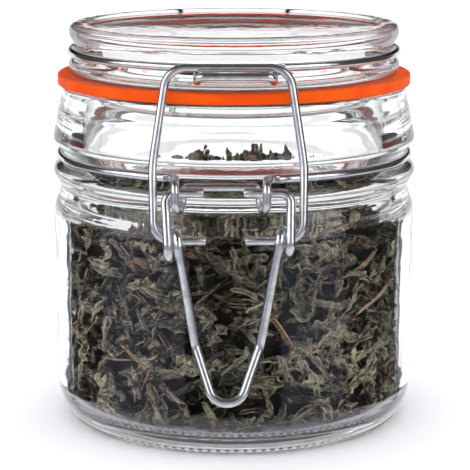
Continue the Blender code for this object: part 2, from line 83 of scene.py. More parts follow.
class Graph:
    """Lays out the nodes of one shader tree."""

    def __init__(self, tree: bpy.types.NodeTree) -> None:
        """Start on an empty tree."""
        self.tree = tree
        tree.nodes.clear()

    def node(self, kind: str, **settings: object) -> bpy.types.Node:
        """Add a node and set its properties.

        Args:
            kind: Blender's name for the node type.
            settings: Properties of the node by name.

        Returns:
            The new node.
        """
        made = self.tree.nodes.new(kind)
        for name, value in settings.items():
            setattr(made, name, value)
        return made

    def feed(self, socket: bpy.types.NodeSocket, source: object) -> None:
        """Fill an input from another node's output, or with a plain value.

        Args:
            socket: The input to fill.
            source: An output socket, or a number, vector or colour.
        """
        if isinstance(source, bpy.types.NodeSocket):
            self.tree.links.new(source, socket)
        else:
            socket.default_value = source

    def math(self, operation: str, *values: object) -> bpy.types.NodeSocket:
        """A Math node.

        Args:
            operation: Name of the operation.
            values: Its inputs in order.

        Returns:
            The result's socket.
        """
        made = self.node("ShaderNodeMath", operation=operation)
        for socket, value in zip(made.inputs, values):
            self.feed(socket, value)
        return made.outputs[0]

    def between(self, value: object, low: object, high: object) -> bpy.types.NodeSocket:
        """A mask that is 1 where a value lies between two limits, each a number or a socket."""
        above = self.math("GREATER_THAN", value, low)
        return self.math("MULTIPLY", above, self.math("LESS_THAN", value, high))

    def noise(
        self, vector: object, scale: object, detail: float, turn: object = None
    ) -> bpy.types.NodeSocket:
        """A noise pattern.

        Args:
            vector: Where the pattern is read.
            scale: Spots per unit of length.
            detail: Octaves of finer pattern.
            turn: Fourth coordinate, which makes one leaf's pattern differ from the next.

        Returns:
            The pattern's grey value.
        """
        made = self.node("ShaderNodeTexNoise", noise_dimensions="3D" if turn is None else "4D")
        self.feed(made.inputs["Vector"], vector)
        self.feed(made.inputs["Scale"], scale)
        self.feed(made.inputs["Detail"], detail)
        if turn is not None:
            self.feed(made.inputs["W"], turn)
        return made.outputs["Fac"]

    def ramp(self, value: object, stops: list[tuple[float, Colour]]) -> bpy.types.NodeSocket:
        """A colour ramp.

        Args:
            value: Position on the ramp.
            stops: Position and colour of each stop.

        Returns:
            The colour's socket.
        """
        made = self.node("ShaderNodeValToRGB")
        band = made.color_ramp
        while len(band.elements) < len(stops):
            band.elements.new(0.5)
        for element, (place, colour) in zip(band.elements, stops):
            element.position = place
            element.color = (*colour, 1.0)
        self.feed(made.inputs["Fac"], value)
        return made.outputs["Color"]


def veil(graph: Graph, path: bpy.types.Node) -> bpy.types.NodeSocket:
    """A mask for the faint picture of the room that the inside of the jar's wall throws back.

    Args:
        graph: The graph of the world or of the floor.
        path: Its Light Path node.

    Returns:
        The mask's socket.
    """
    thrown_back = graph.math("GREATER_THAN", path.outputs["Glossy Depth"], 0.5)
    one_wall = graph.between(path.outputs["Transmission Depth"], 1.5, 2.5)
    return graph.math("MULTIPLY", thrown_back, one_wall)


def lights_tea(graph: Graph, path: bpy.types.Node) -> bpy.types.NodeSocket:
    """A mask for the light that the leaves gather through the glass.

    Args:
        graph: The graph of the world or of the floor.
        path: Its Light Path node.

    Returns:
        The mask's socket.
    """
    gathered = graph.math("GREATER_THAN", path.outputs["Diffuse Depth"], 0.5)
    return graph.math("MULTIPLY", gathered, path.outputs["Is Transmission Ray"])


def mottle_group() -> bpy.types.NodeTree:
    """The uneven surface that every finish of the jar has to some degree.

    Returns:
        A group with a vector, a coarse and a fine scale in, and a mask and a height out.
    """
    name = "mottled_surface"
    if name in bpy.data.node_groups:
        return bpy.data.node_groups[name]
    group = bpy.data.node_groups.new(name, "ShaderNodeTree")
    group.interface.new_socket(name="Vector", in_out="INPUT", socket_type="NodeSocketVector")
    for number in ("Coarse", "Fine", "Fine Share"):
        group.interface.new_socket(name=number, in_out="INPUT", socket_type="NodeSocketFloat")
    for number in ("Mask", "Height"):
        group.interface.new_socket(name=number, in_out="OUTPUT", socket_type="NodeSocketFloat")
    graph = Graph(group)
    given = graph.node("NodeGroupInput")
    coarse = graph.noise(given.outputs["Vector"], given.outputs["Coarse"], 2.0)
    fine = graph.noise(given.outputs["Vector"], given.outputs["Fine"], 2.0)
    mixed = graph.node("ShaderNodeMix", data_type="FLOAT")
    graph.feed(mixed.inputs["Factor"], given.outputs["Fine Share"])
    graph.feed(mixed.inputs["A"], coarse)
    graph.feed(mixed.inputs["B"], fine)
    stretched = graph.node("ShaderNodeMapRange")
    graph.feed(stretched.inputs["Value"], coarse)
    stretched.inputs["From Min"].default_value = 0.35
    stretched.inputs["From Max"].default_value = 0.65
    out = graph.node("NodeGroupOutput")
    graph.feed(out.inputs["Mask"], stretched.outputs["Result"])
    graph.feed(out.inputs["Height"], mixed.outputs["Result"])
    return group


@dataclass(frozen=True)
class Finish:
    """What every finish shares: its name, its unevenness and how deep that is."""

    name: str
    coarse: float
    fine: float
    fine_share: float
    bump: float
    bump_distance: float

    def start(self) -> tuple[bpy.types.Material, Graph, bpy.types.Node, bpy.types.Node]:
        """Make the material with its shader, its mottle and its bump.

        Returns:
            The material, its graph, the shader node and the mottle node.
        """
        made = bpy.data.materials.new(self.name)
        made.use_nodes = True
        graph = Graph(made.node_tree)
        shader = graph.node("ShaderNodeBsdfPrincipled")
        out = graph.node("ShaderNodeOutputMaterial")
        graph.feed(out.inputs["Surface"], shader.outputs["BSDF"])
        mottle = graph.node("ShaderNodeGroup", node_tree=mottle_group())
        mottle.inputs["Coarse"].default_value = self.coarse
        mottle.inputs["Fine"].default_value = self.fine
        mottle.inputs["Fine Share"].default_value = self.fine_share
        place = graph.node("ShaderNodeTexCoord")
        graph.feed(mottle.inputs["Vector"], place.outputs["Object"])
        bump = graph.node("ShaderNodeBump")
        bump.inputs["Strength"].default_value = self.bump
        bump.inputs["Distance"].default_value = self.bump_distance
        graph.feed(bump.inputs["Height"], mottle.outputs["Height"])
        graph.feed(shader.inputs["Normal"], bump.outputs["Normal"])
        return made, graph, shader, mottle


@dataclass(frozen=True)
class GlassFinish(Finish):
    """Clear pressed glass with a faint tint and a slight waviness."""

    tint: Colour = (0.97, 0.985, 0.975)
    refraction: float = 1.5

    def make(self) -> bpy.types.Material:
        """The glass's material."""
        made, _, shader, _ = self.start()
        shader.inputs["Base Color"].default_value = (*self.tint, 1.0)
        shader.inputs["Roughness"].default_value = 0.0
        shader.inputs["IOR"].default_value = self.refraction
        shader.inputs["Transmission Weight"].default_value = 1.0
        return made


@dataclass(frozen=True)
class RubberFinish(Finish):
    """Orange rubber, a little dull and dusty in patches."""

    deep: Colour = (0.68, 0.062, 0.001)
    pale: Colour = (0.76, 0.085, 0.002)
    roughness: float = 0.42
    roughness_spread: float = 0.12
    specular: float = 0.08

    def make(self) -> bpy.types.Material:
        """The rubber's material."""
        made, graph, shader, mottle = self.start()
        colour = graph.ramp(mottle.outputs["Mask"], [(0.0, self.deep), (1.0, self.pale)])
        graph.feed(shader.inputs["Base Color"], colour)
        rough = graph.math("MULTIPLY_ADD", mottle.outputs["Mask"], self.roughness_spread, self.roughness)
        graph.feed(shader.inputs["Roughness"], rough)
        shader.inputs["Specular IOR Level"].default_value = self.specular
        return made


@dataclass(frozen=True)
class WireFinish(Finish):
    """Bright zinc plate with faint die marks."""

    bright: Colour = (0.86, 0.87, 0.89)
    dull: Colour = (0.70, 0.71, 0.73)
    roughness: float = 0.20
    roughness_spread: float = -0.06

    def make(self) -> bpy.types.Material:
        """The wire's material."""
        made, graph, shader, mottle = self.start()
        colour = graph.ramp(mottle.outputs["Mask"], [(0.0, self.dull), (1.0, self.bright)])
        graph.feed(shader.inputs["Base Color"], colour)
        rough = graph.math("MULTIPLY_ADD", mottle.outputs["Mask"], self.roughness_spread, self.roughness)
        graph.feed(shader.inputs["Roughness"], rough)
        shader.inputs["Metallic"].default_value = 1.0
        return made


@dataclass(frozen=True)
class LeafFinish(Finish):
    """Dried leaf: each leaf has its own tone, darkened by painted shade where it lies deep, with wrinkles
    along it whose folds are partly painted darker, and painted highlights on its edges.
    """

    dark: Colour
    middle: Colour
    pale: Colour
    roughness: float = 0.40
    roughness_spread: float = 0.30
    specular: float = 0.35
    # Painted highlight: how much paler the colour is made towards the leaf's edges, where light catches
    # them.
    rim: float = 0.28
    wrinkle_stretch: Point = (2.6, 7.0, 1.0)
    # Partly the leaf's own mottling and partly painted shade: the wrinkle pattern that raises the folds also
    # lightens and darkens the colour, darkest in the creases.
    wrinkle_tone_and_fold_shade: float = 2.0
    vein_stretch: Point = (1.5, 26.0, 1.0)
    vein_tone: float = 1.2
    mottle_tone: float = 0.40
    fold_depth: float = 0.0012

    def make(self) -> bpy.types.Material:
        """The leaf's material."""
        made, graph, shader, mottle = self.start()
        # The tone attribute holds each leaf's own tone, darkened by painted shade where the leaf lies deep
        # in the heap.
        tone = graph.node("ShaderNodeAttribute", attribute_name="tone").outputs["Fac"]
        seed = graph.node("ShaderNodeAttribute", attribute_name="seed").outputs["Fac"]
        turn = graph.math("MULTIPLY", seed, 90.0)
        along = graph.node("ShaderNodeUVMap", uv_map="leaf").outputs["UV"]
        wrinkle = graph.noise(self.stretched(graph, along, self.wrinkle_stretch), 1.0, 3.0, turn)
        vein = graph.noise(self.stretched(graph, along, self.vein_stretch), 1.0, 2.0, turn)
        across = graph.node("ShaderNodeSeparateXYZ")
        graph.feed(across.inputs["Vector"], along)
        off_middle = graph.math("ABSOLUTE", graph.math("SUBTRACT", across.outputs["Y"], 0.5))
        edge = graph.math("POWER", graph.math("MULTIPLY", off_middle, 2.0), 4.0)
        place = tone
        # The wrinkle pattern colours the leaf darker where the fold bump below sinks: painted shade in the
        # creases, over the leaf's own mottling.
        patterns = (wrinkle, vein, mottle.outputs["Mask"])
        for pattern, share in zip(patterns, (self.wrinkle_tone_and_fold_shade, self.vein_tone, self.mottle_tone)):
            place = graph.math("ADD", place, graph.math("MULTIPLY_ADD", pattern, share, -share / 2))
        # Painted highlight on the leaf's edges.
        place = graph.math("ADD", place, graph.math("MULTIPLY", edge, self.rim))
        colour = graph.ramp(place, [(0.0, self.dark), (0.5, self.middle), (1.0, self.pale)])
        graph.feed(shader.inputs["Base Color"], colour)
        rough = graph.math("MULTIPLY_ADD", wrinkle, self.roughness_spread, self.roughness)
        graph.feed(shader.inputs["Roughness"], rough)
        shader.inputs["Specular IOR Level"].default_value = self.specular
        fold = graph.node("ShaderNodeBump")
        fold.inputs["Strength"].default_value = 1.0
        fold.inputs["Distance"].default_value = self.fold_depth
        graph.feed(fold.inputs["Height"], graph.math("MULTIPLY_ADD", vein, 0.35, wrinkle))
        first = shader.inputs["Normal"].links[0].from_node
        graph.feed(fold.inputs["Normal"], first.outputs["Normal"])
        graph.feed(shader.inputs["Normal"], fold.outputs["Normal"])
        return made

    def stretched(self, graph: Graph, vector: bpy.types.NodeSocket, scale: Point) -> bpy.types.NodeSocket:
        """Stretch the leaf's own map.

        Args:
            graph: The material's graph.
            vector: The leaf's map.
            scale: Stretch along, across and through.

        Returns:
            The stretched map.
        """
        made = graph.node("ShaderNodeMapping")
        graph.feed(made.inputs["Vector"], vector)
        made.inputs["Scale"].default_value = scale
        return made.outputs["Vector"]


@dataclass(frozen=True)
class PaperFinish(Finish):
    """The plain pale floor."""

    colour: Colour = (0.93, 0.93, 0.94)
    # Painted contact shadow: the grey that the floor shows near the jar, within the reach below, to rays
    # that come through the glass.
    painted_shadow_colour: Colour = (0.52, 0.51, 0.58)
    painted_shadow_reach: tuple[float, float] = (0.085, 0.045)
    # Painted shade: the floor's colour is darkened towards black where the inside of the wall throws it
    # back, in front of and beside the jar, and by a share where the tea gathers light from it.
    dim_from: float = 0.055
    dim_front: float = 0.03
    dim_side: tuple[float, float] = (0.79, 0.0525)
    painted_dim_on_tea: float = 0.6

    def make(self) -> bpy.types.Material:
        """The floor's material: a painted contact shadow near the jar where it is seen through the glass,
        and painted dark where the wall throws it back and where the tea gathers light from it.
        """
        made, graph, shader, mottle = self.start()
        low = tuple(0.985 * part for part in self.colour)
        paper = graph.ramp(mottle.outputs["Mask"], [(0.0, low), (1.0, self.colour)])
        place = graph.node("ShaderNodeSeparateXYZ")
        graph.feed(place.inputs["Vector"], graph.node("ShaderNodeTexCoord").outputs["Object"])
        x, y = place.outputs["X"], place.outputs["Y"]
        squares = graph.math("ADD", graph.math("MULTIPLY", x, x), graph.math("MULTIPLY", y, y))
        reach = graph.math("SQRT", squares)
        path = graph.node("ShaderNodeLightPath")
        near = graph.node("ShaderNodeMapRange")
        graph.feed(near.inputs["Value"], reach)
        near.inputs["From Min"].default_value, near.inputs["From Max"].default_value = self.painted_shadow_reach
        # Painted shadow: only rays that come through the glass see the grey near the jar.
        painted_shadow_mask = graph.math("MULTIPLY", near.outputs["Result"], path.outputs["Is Transmission Ray"])
        shaded = graph.node("ShaderNodeMix", data_type="RGBA")
        graph.feed(shaded.inputs["Factor"], painted_shadow_mask)
        graph.feed(shaded.inputs["A"], paper)
        shaded.inputs["B"].default_value = (*self.painted_shadow_colour, 1.0)
        # Painted shade: the floor goes black for the reflection in the inner wall, and partly black as a
        # light for the tea.
        ahead = graph.math("LESS_THAN", y, self.dim_front)
        line = graph.math("MULTIPLY_ADD", y, *self.dim_side)
        beside = graph.math("GREATER_THAN", graph.math("ABSOLUTE", x), line)
        outside = graph.math("GREATER_THAN", reach, self.dim_from)
        around = graph.math("MULTIPLY", graph.math("MAXIMUM", ahead, beside), outside)
        painted_dim = graph.math("MULTIPLY", veil(graph, path), around)
        painted_dim = graph.math("MAXIMUM", painted_dim, graph.math("MULTIPLY", lights_tea(graph, path), self.painted_dim_on_tea))
        dark = graph.node("ShaderNodeMix", data_type="RGBA")
        graph.feed(dark.inputs["Factor"], painted_dim)
        graph.feed(dark.inputs["A"], shaded.outputs["Result"])
        dark.inputs["B"].default_value = (0.0, 0.0, 0.0, 1.0)
        graph.feed(shader.inputs["Base Color"], dark.outputs["Result"])
        shader.inputs["Roughness"].default_value = 0.9
        shader.inputs["Specular IOR Level"].default_value = 0.1
        return made


# Shapes that several pieces share.


def arc(centre: tuple[float, float], radius: float, first: float, last: float, steps: int) -> Profile:
    """Points of an arc in a turned profile, between two angles in degrees from outwards towards up."""
    angles = [math.radians(first + (last - first) * i / steps) for i in range(steps + 1)]
    return [(centre[0] + radius * math.cos(a), centre[1] + radius * math.sin(a)) for a in angles]


def eased(
    profile: Profile, rounding: float, spacing: float = 0.0002, tolerance: float = 0.000008
) -> Profile:
    """Round a profile's corners as fire polishing does, and keep only the points that its shape needs.

    Args:
        profile: Radius and height of each corner, first and last on the axis.
        rounding: How far a corner is spread out.
        spacing: Distance between the points while it is worked.
        tolerance: How far a dropped point may lie from the line.

    Returns:
        The eased points, with the two ends as they were.
    """
    corners = np.array(profile)
    steps = np.linalg.norm(np.diff(corners, axis=0), axis=1)
    along = np.concatenate([[0], np.cumsum(steps)])
    count = int(along[-1] / spacing)
    places = np.linspace(0, along[-1], count)
    dense = np.stack([np.interp(places, along, corners[:, axis]) for axis in (0, 1)], axis=1)
    reach = max(1, round(3 * rounding / spacing))
    weights = np.exp(-0.5 * (np.arange(-reach, reach + 1) * spacing / rounding) ** 2)
    weights /= weights.sum()
    head = 2 * dense[0] - dense[reach:0:-1]
    tail = 2 * dense[-1] - dense[-2:-reach - 2:-1]
    padded = np.concatenate([head, dense, tail])
    soft = np.stack([np.convolve(padded[:, axis], weights, "valid") for axis in (0, 1)], axis=1)
    kept = {0, len(soft) - 1}
    spans = [(0, len(soft) - 1)]
    while spans:
        first, last = spans.pop()
        if last - first < 2:
            continue
        line = soft[last] - soft[first]
        offsets = soft[first + 1:last] - soft[first]
        across = np.abs(line[0] * offsets[:, 1] - line[1] * offsets[:, 0]) / np.linalg.norm(line)
        far = int(across.argmax())
        if across[far] > tolerance:
            middle = first + 1 + far
            kept.add(middle)
            spans += [(first, middle), (middle, last)]
    order = sorted(kept)
    support = round(SUPPORT / spacing)
    for first, last in zip(order, order[1:]):
        if last - first > 5 * support:
            kept.update((first + support, last - support))
    return [tuple(soft[i]) for i in sorted(kept)]


def turned(name: str, profile: Profile, steps: int, closed: bool = False) -> bpy.types.Object:
    """A solid turned round the jar's axis.

    Args:
        name: Name of the piece.
        profile: Radius and height of each point.
        steps: Number of steps in a full turn.
        closed: Whether the profile is a closed section, as a ring's is.

    Returns:
        The piece.
    """
    shape = bmesh.new()
    line = [shape.verts.new((radius, JAR_AXIS_Y, height)) for radius, height in profile]
    edges = [shape.edges.new(pair) for pair in zip(line, line[1:])]
    if closed:
        edges.append(shape.edges.new((line[-1], line[0])))
    axis = {"cent": (0, JAR_AXIS_Y, 0), "axis": (0, 0, 1)}
    bmesh.ops.spin(shape, geom=line + edges, **axis, angle=math.tau, steps=steps, use_merge=True)
    bmesh.ops.remove_doubles(shape, verts=shape.verts, dist=1e-6)
    bmesh.ops.recalc_face_normals(shape, faces=shape.faces)
    mesh = bpy.data.meshes.new(name)
    shape.to_mesh(mesh)
    shape.free()
    return placed(name, mesh)


def placed(name: str, mesh: bpy.types.Mesh) -> bpy.types.Object:
    """Put a mesh in the scene as a smooth piece.

    Args:
        name: Name of the piece.
        mesh: Its mesh, already in place.

    Returns:
        The piece.
    """
    mesh.shade_smooth()
    made = bpy.data.objects.new(name, mesh)
    bpy.context.scene.collection.objects.link(made)
    return made


def dress(
    piece: bpy.types.Object, material: bpy.types.Material, body: str, node: str | None = None
) -> None:
    """Give a piece its finish, its body and the node that it stands for.

    Args:
        piece: The piece.
        material: Its material.
        body: The body that carries it.
        node: The node that it replaces, if any.
    """
    piece.data.materials.clear()
    piece.data.materials.append(material)
    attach(piece, body)
    if node:
        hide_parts(node)
    faces = len(piece.data.polygons)
    LOG.info("%s rides on %s with finish %s, %d faces", piece.name, body, material.name, faces)


def bent(corners: list[Corner], degrees_per_point: float = 9.0) -> list[Vector]:
    """The line of a wire bent at its corners.

    Args:
        corners: Each corner's point and bend radius, where 0 means no bend there.
        degrees_per_point: How finely a bend is cut.

    Returns:
        Points along the wire.
    """
    path = [Vector(corners[0][0])]
    for before, (corner, radius), after in zip(corners, corners[1:], corners[2:]):
        corner = Vector(corner)
        arriving = (corner - Vector(before[0])).normalized()
        leaving = (Vector(after[0]) - corner).normalized()
        turn = arriving.angle(leaving)
        if radius == 0 or turn < math.radians(3):
            path.append(corner)
            continue
        start = corner - arriving * radius * math.tan(turn / 2)
        normal = (leaving - arriving * leaving.dot(arriving)).normalized()
        steps = max(2, math.ceil(math.degrees(turn) / degrees_per_point))
        for i in range(steps + 1):
            angle = turn * i / steps
            ahead, aside = radius * math.sin(angle), radius * (1 - math.cos(angle))
            path.append(start + arriving * ahead + normal * aside)
    path.append(Vector(corners[-1][0]))
    return path


# Glass and rubber.


@dataclass
class GlassJar:
    """The round jar: body, waist, bead, wire groove, bulged neck and rim."""

    body_radius: float = 0.0456
    body_top: float = 0.053
    heel: tuple[float, float] = (0.0065, 0.012)
    bearing_inner: float = 0.0365
    bearing_step: float = 0.003
    push_up: float = 0.0015
    waist: tuple[float, float] = (0.0440, 0.0597)
    bead: tuple[float, float, float] = (0.0437, 0.0635, 0.00195)
    groove: tuple[float, float, float] = (0.0439, 0.0674, 0.00135)
    bulge: tuple[float, float, float] = (0.0434, 0.0718, 0.0022)
    rim_radius: float = 0.0432
    rim_height: float = 0.0846
    rim_round: float = 0.001
    mouth_radius: float = 0.0388
    mouth_round: float = 0.0005
    neck_waves: tuple[float, float, float] = (0.00004, 0.0031, 0.0019)
    neck_wave_reach: tuple[float, float, float] = (0.0015, 0.0005, 0.0003)
    cavity_radius: float = 0.0420
    cavity_shoulder: tuple[tuple[float, float], ...] = (
        (0.0388, 0.0650),
        (0.0390, 0.0600),
        (0.0394, 0.0568),
        (0.0401, 0.0552),
        (0.0418, 0.0532),
        (0.0420, 0.0524),
    )
    cavity_floor: float = 0.0042
    cavity_heel: tuple[float, float] = (0.0045, 0.0055)
    rounding: float = 0.00035
    shoulder_rounding: float = 0.0003
    steps: int = 240
    mark_ring: tuple[float, float] = (0.0385, 0.0422)
    mark_height: float = 0.0035
    mark_edge: float = 0.00012
    mark_depth: float = 0.00022

    def inner_radius(self, height: np.ndarray | float) -> np.ndarray | float:
        """Radius of the cavity's wall.

        Args:
            height: Height above the surface that the jar stands on.

        Returns:
            The radius there.
        """
        width, rise = self.cavity_heel
        drop = np.clip((self.cavity_floor + rise - height) / rise, 0.0, 1.0)
        radii, heights = zip(*reversed(self.cavity_shoulder))
        return np.interp(height, heights, radii) - width * (1 - np.sqrt(1 - drop * drop))

    def profile(self) -> Profile:
        """Outside from the base up to the rim, then the inside down to the floor."""
        width, rise = self.heel
        step = self.bearing_inner - self.bearing_step
        outside = [(0.0, self.push_up), (step, self.push_up), (self.bearing_inner, 0.0)]
        outside += [
            (self.body_radius - width + width * math.sin(a), rise * (1 - math.cos(a)))
            for a in (math.radians(4.5 * i) for i in range(21))
        ]
        for i in range(13):
            share = i / 12
            swell = math.sin(share * math.pi / 2) ** 2
            radius = self.body_radius + (self.waist[0] - self.body_radius) * swell
            outside.append((radius, self.body_top + (self.waist[1] - self.body_top) * share))
        outside += arc(self.bead[:2], self.bead[2], -50, 50, 12)
        outside += arc(self.groove[:2], self.groove[2], 240, 120, 12)
        outside += arc(self.bulge[:2], self.bulge[2], -50, 20, 9)
        rim_centre = (self.rim_radius - self.rim_round, self.rim_height - self.rim_round)
        outside += arc(rim_centre, self.rim_round, 0, 90, 9)
        inside = [(self.mouth_radius + self.mouth_round, self.rim_height)]
        inside.append((self.mouth_radius, self.rim_height - self.mouth_round))
        depth, long_wave, short_wave = self.neck_waves
        first, last, step = self.neck_wave_reach
        for height in np.arange(self.rim_height - first, self.cavity_shoulder[0][1] + last, -step):
            wave = math.sin(math.tau * height / long_wave) + 0.6 * math.sin(math.tau * height / short_wave)
            inside.append((self.mouth_radius + depth * wave, float(height)))
        inside += eased(list(self.cavity_shoulder), self.shoulder_rounding)
        for i in range(16):
            height = self.cavity_floor + self.cavity_heel[1] * (1 - math.sin(math.radians(6 * i)))
            inside.append((float(self.inner_radius(height)), height))
        return eased(outside + inside + [(0.0, self.cavity_floor)], self.rounding)

    def knurl_base(self, piece: bpy.types.Object) -> None:
        """Raise the ring of small marks that the mould leaves round the edge of the base.

        Args:
            piece: The turned jar.
        """
        inner, outer = self.mark_ring
        shape = bmesh.new()
        shape.from_mesh(piece.data)
        band = []
        for face in shape.faces:
            middle = face.calc_center_median()
            radius = math.hypot(middle.x, middle.y - JAR_AXIS_Y)
            turn = math.degrees(math.atan2(middle.y - JAR_AXIS_Y, middle.x)) % 360
            every_other = int(turn * self.steps / 360) % 2 == 0
            below = middle.z < self.mark_height and face.normal.z < 0
            if every_other and below and inner < radius < outer:
                band.append(face)
        made = bmesh.ops.inset_individual(
            shape, faces=band, thickness=self.mark_edge, depth=self.mark_depth
        )
        LOG.info("base ring has %d mould marks", len(made["faces"]) // 2)
        shape.to_mesh(piece.data)
        shape.free()

    def build(self) -> bpy.types.Object:
        """The jar's piece."""
        return turned("glass_jar", self.profile(), self.steps)


@dataclass
class GlassLid:
    """The lid: rolled edge, wire groove, flange, plug and dished top."""

    top: float = 0.0999
    edge_radius: float = 0.0413
    edge_corner: float = 0.0012
    edge_bottom: float = 0.0975
    edge_round: float = 0.0016
    groove: tuple[float, float, float] = (0.0408, 0.0931, 0.00135)
    flange: tuple[float, float, float] = (0.0396, 0.08985, 0.00195)
    plug_radius: float = 0.0369
    plug_wall: float = 0.0034
    plug_taper: float = 0.0003
    plug_round: float = 0.0012
    plug_bottom: float = 0.0800
    plug_inner_rise: float = 0.0042
    plug_ease: float = 0.0005
    dish_radius: float = 0.0359
    dish_cove: float = 0.0013
    dish_cove_end: float = -29.0
    dish_lip: float = 0.0374
    dish_floor: float = 0.09915
    bowl_depth: float = 0.0005
    bowl_rings: int = 16
    centre_disc: tuple[float, float, float] = (0.0160, 0.00012, 0.0008)
    underside: float = 0.0915
    coves: tuple[tuple[float, float], ...] = ((0.0010, 0.0010), (0.0030, 0.0002))
    seat: float = 0.0879
    rounding: float = 0.00035
    tolerance: float = 0.000003
    steps: int = 240

    def profile(self) -> Profile:
        """Top from the centre out, round the edge, then the plug and the underside."""
        disc_radius, disc_depth, disc_slope = self.centre_disc
        points = []
        for i in range(self.bowl_rings):
            radius = self.dish_radius * i / self.bowl_rings
            rise = self.bowl_depth * (radius / self.dish_radius) ** 2
            disc = disc_depth * min(1.0, max(0.0, (disc_radius + disc_slope - radius) / disc_slope))
            points.append((radius, self.dish_floor - self.bowl_depth + rise - disc))
        cove_centre = (self.dish_radius, self.dish_floor + self.dish_cove)
        points += arc(cove_centre, self.dish_cove, -90, self.dish_cove_end, 8) + [(self.dish_lip, self.top)]
        corner_centre = (self.edge_radius - self.edge_corner, self.top - self.edge_corner)
        points += arc(corner_centre, self.edge_corner, 90, 0, 9)
        points += arc((self.edge_radius - self.edge_round, self.edge_bottom), self.edge_round, 0, -45, 6)
        points += arc(self.groove[:2], self.groove[2], 140, 220, 8)
        points += arc(self.flange[:2], self.flange[2], 55, -60, 13)
        points += [
            (self.flange[0], self.seat),
            (self.plug_radius + self.plug_ease, self.seat),
            (self.plug_radius, self.seat - self.plug_ease),
            (self.plug_radius - self.plug_taper, self.plug_bottom + self.plug_round),
            (self.plug_radius - self.plug_round, self.plug_bottom),
            (self.plug_radius - 2 * self.plug_round, self.plug_bottom + self.plug_taper),
            (self.plug_radius - self.plug_wall, self.plug_bottom + self.plug_inner_rise),
        ]
        inside = self.plug_radius - self.plug_wall
        points += [(inside - inset, self.underside - drop) for inset, drop in self.coves]
        return eased(points + [(0.0, self.underside)], self.rounding, tolerance=self.tolerance)

    def build(self) -> bpy.types.Object:
        """The lid's piece."""
        return turned("glass_lid", self.profile(), self.steps)


@dataclass
class RubberSeal:
    """The flat rubber ring between rim and lid."""

    inner: float = 0.0381
    outer: float = 0.0443
    low: float = 0.0849
    thickness: float = 0.0027
    ease: float = 0.0005
    steps: int = 192

    def section(self) -> Profile:
        """The ring's section with its outer edges eased."""
        high = self.low + self.thickness
        low_corner = (self.outer - self.ease, self.low + self.ease)
        high_corner = (self.outer - self.ease, high - self.ease)
        points = [(self.inner, self.low)] + arc(low_corner, self.ease, -90, 0, 6)
        return points + arc(high_corner, self.ease, 0, 90, 6) + [(self.inner, high)]

    def build(self) -> bpy.types.Object:
        """The seal's piece."""
        return turned("rubber_seal", self.section(), self.steps, closed=True)


# Wires.


@dataclass
class BentWire:
    """Round stock bent along a line; its cut ends are a little rounded."""

    gauge: float = 0.0010
    facets: int = 5
    least_step: float = 0.12
    end_ease: float = 0.3
    end_shares: tuple[tuple[float, float], ...] = ((0.0, 0.68), (0.25, 0.88), (1.0, 1.0))

    def form(self, name: str, path: list[Vector], cyclic: bool = False) -> bpy.types.Object:
        """Sweep the stock along a path.

        Args:
            name: Name of the piece.
            path: Points in the jar's own frame.
            cyclic: Whether the wire closes on itself.

        Returns:
            The piece.
        """
        curve = bpy.data.curves.new(name + "_line", "CURVE")
        curve.dimensions = "3D"
        curve.bevel_depth = self.gauge
        curve.bevel_resolution = self.facets
        curve.use_fill_caps = not cyclic
        kept = [path[0]]
        for point in path[1:]:
            if (point - kept[-1]).length > self.gauge * self.least_step:
                kept.append(point)
        widths = [1.0] * len(kept)
        if not cyclic:
            kept, widths = self.rounded_ends(kept)
        spline = curve.splines.new("POLY")
        spline.points.add(len(kept) - 1)
        for slot, point, width in zip(spline.points, kept, widths):
            slot.co = (point.x, point.y + JAR_AXIS_Y, point.z, 1.0)
            slot.radius = width
        spline.use_cyclic_u = cyclic
        line = bpy.data.objects.new(name + "_line", curve)
        bpy.context.scene.collection.objects.link(line)
        bpy.context.view_layer.update()
        mesh = bpy.data.meshes.new_from_object(line.evaluated_get(bpy.context.evaluated_depsgraph_get()))
        bpy.data.objects.remove(line)
        shape = bmesh.new()
        shape.from_mesh(mesh)
        bmesh.ops.remove_doubles(shape, verts=shape.verts, dist=1e-6)
        bmesh.ops.recalc_face_normals(shape, faces=shape.faces)
        shape.to_mesh(mesh)
        shape.free()
        mesh.name = name
        piece = placed(name, mesh)
        mesh.set_sharp_from_angle(angle=math.radians(50))
        return piece

    def rounded_ends(self, path: list[Vector]) -> tuple[list[Vector], list[float]]:
        """Ease the two cut ends of the stock.

        Args:
            path: Points along the wire.

        Returns:
            The path with the points of its eased ends, and the share of the gauge at each.
        """
        ease = self.gauge * self.end_ease
        inward = (path[1] - path[0]).normalized()
        outward = (path[-1] - path[-2]).normalized()
        head = [(path[0] + inward * ease * step, width) for step, width in self.end_shares]
        tail = [(path[-1] - outward * ease * step, width) for step, width in reversed(self.end_shares)]
        joined = head + [(point, 1.0) for point in path[1:-1]] + tail
        return [point for point, _ in joined], [width for _, width in joined]


def ring_arc(ring: tuple[float, float], start: float, end: float, steps: int) -> list[Corner]:
    """Corners without bends along a wire ring, between two angles and without the two ends."""
    angles = [start + (end - start) * i / steps for i in range(1, steps)]
    return [((ring[0] * math.cos(a), ring[0] * math.sin(a), ring[1]), 0.0) for a in angles]


def on_ring(ring: tuple[float, float], x: float, front: bool) -> tuple[Point, float]:
    """The point of a ring at a given place across the jar, and its angle."""
    y = math.sqrt(ring[0] ** 2 - x * x) * (-1 if front else 1)
    return (x, y, ring[1]), math.atan2(y, x)


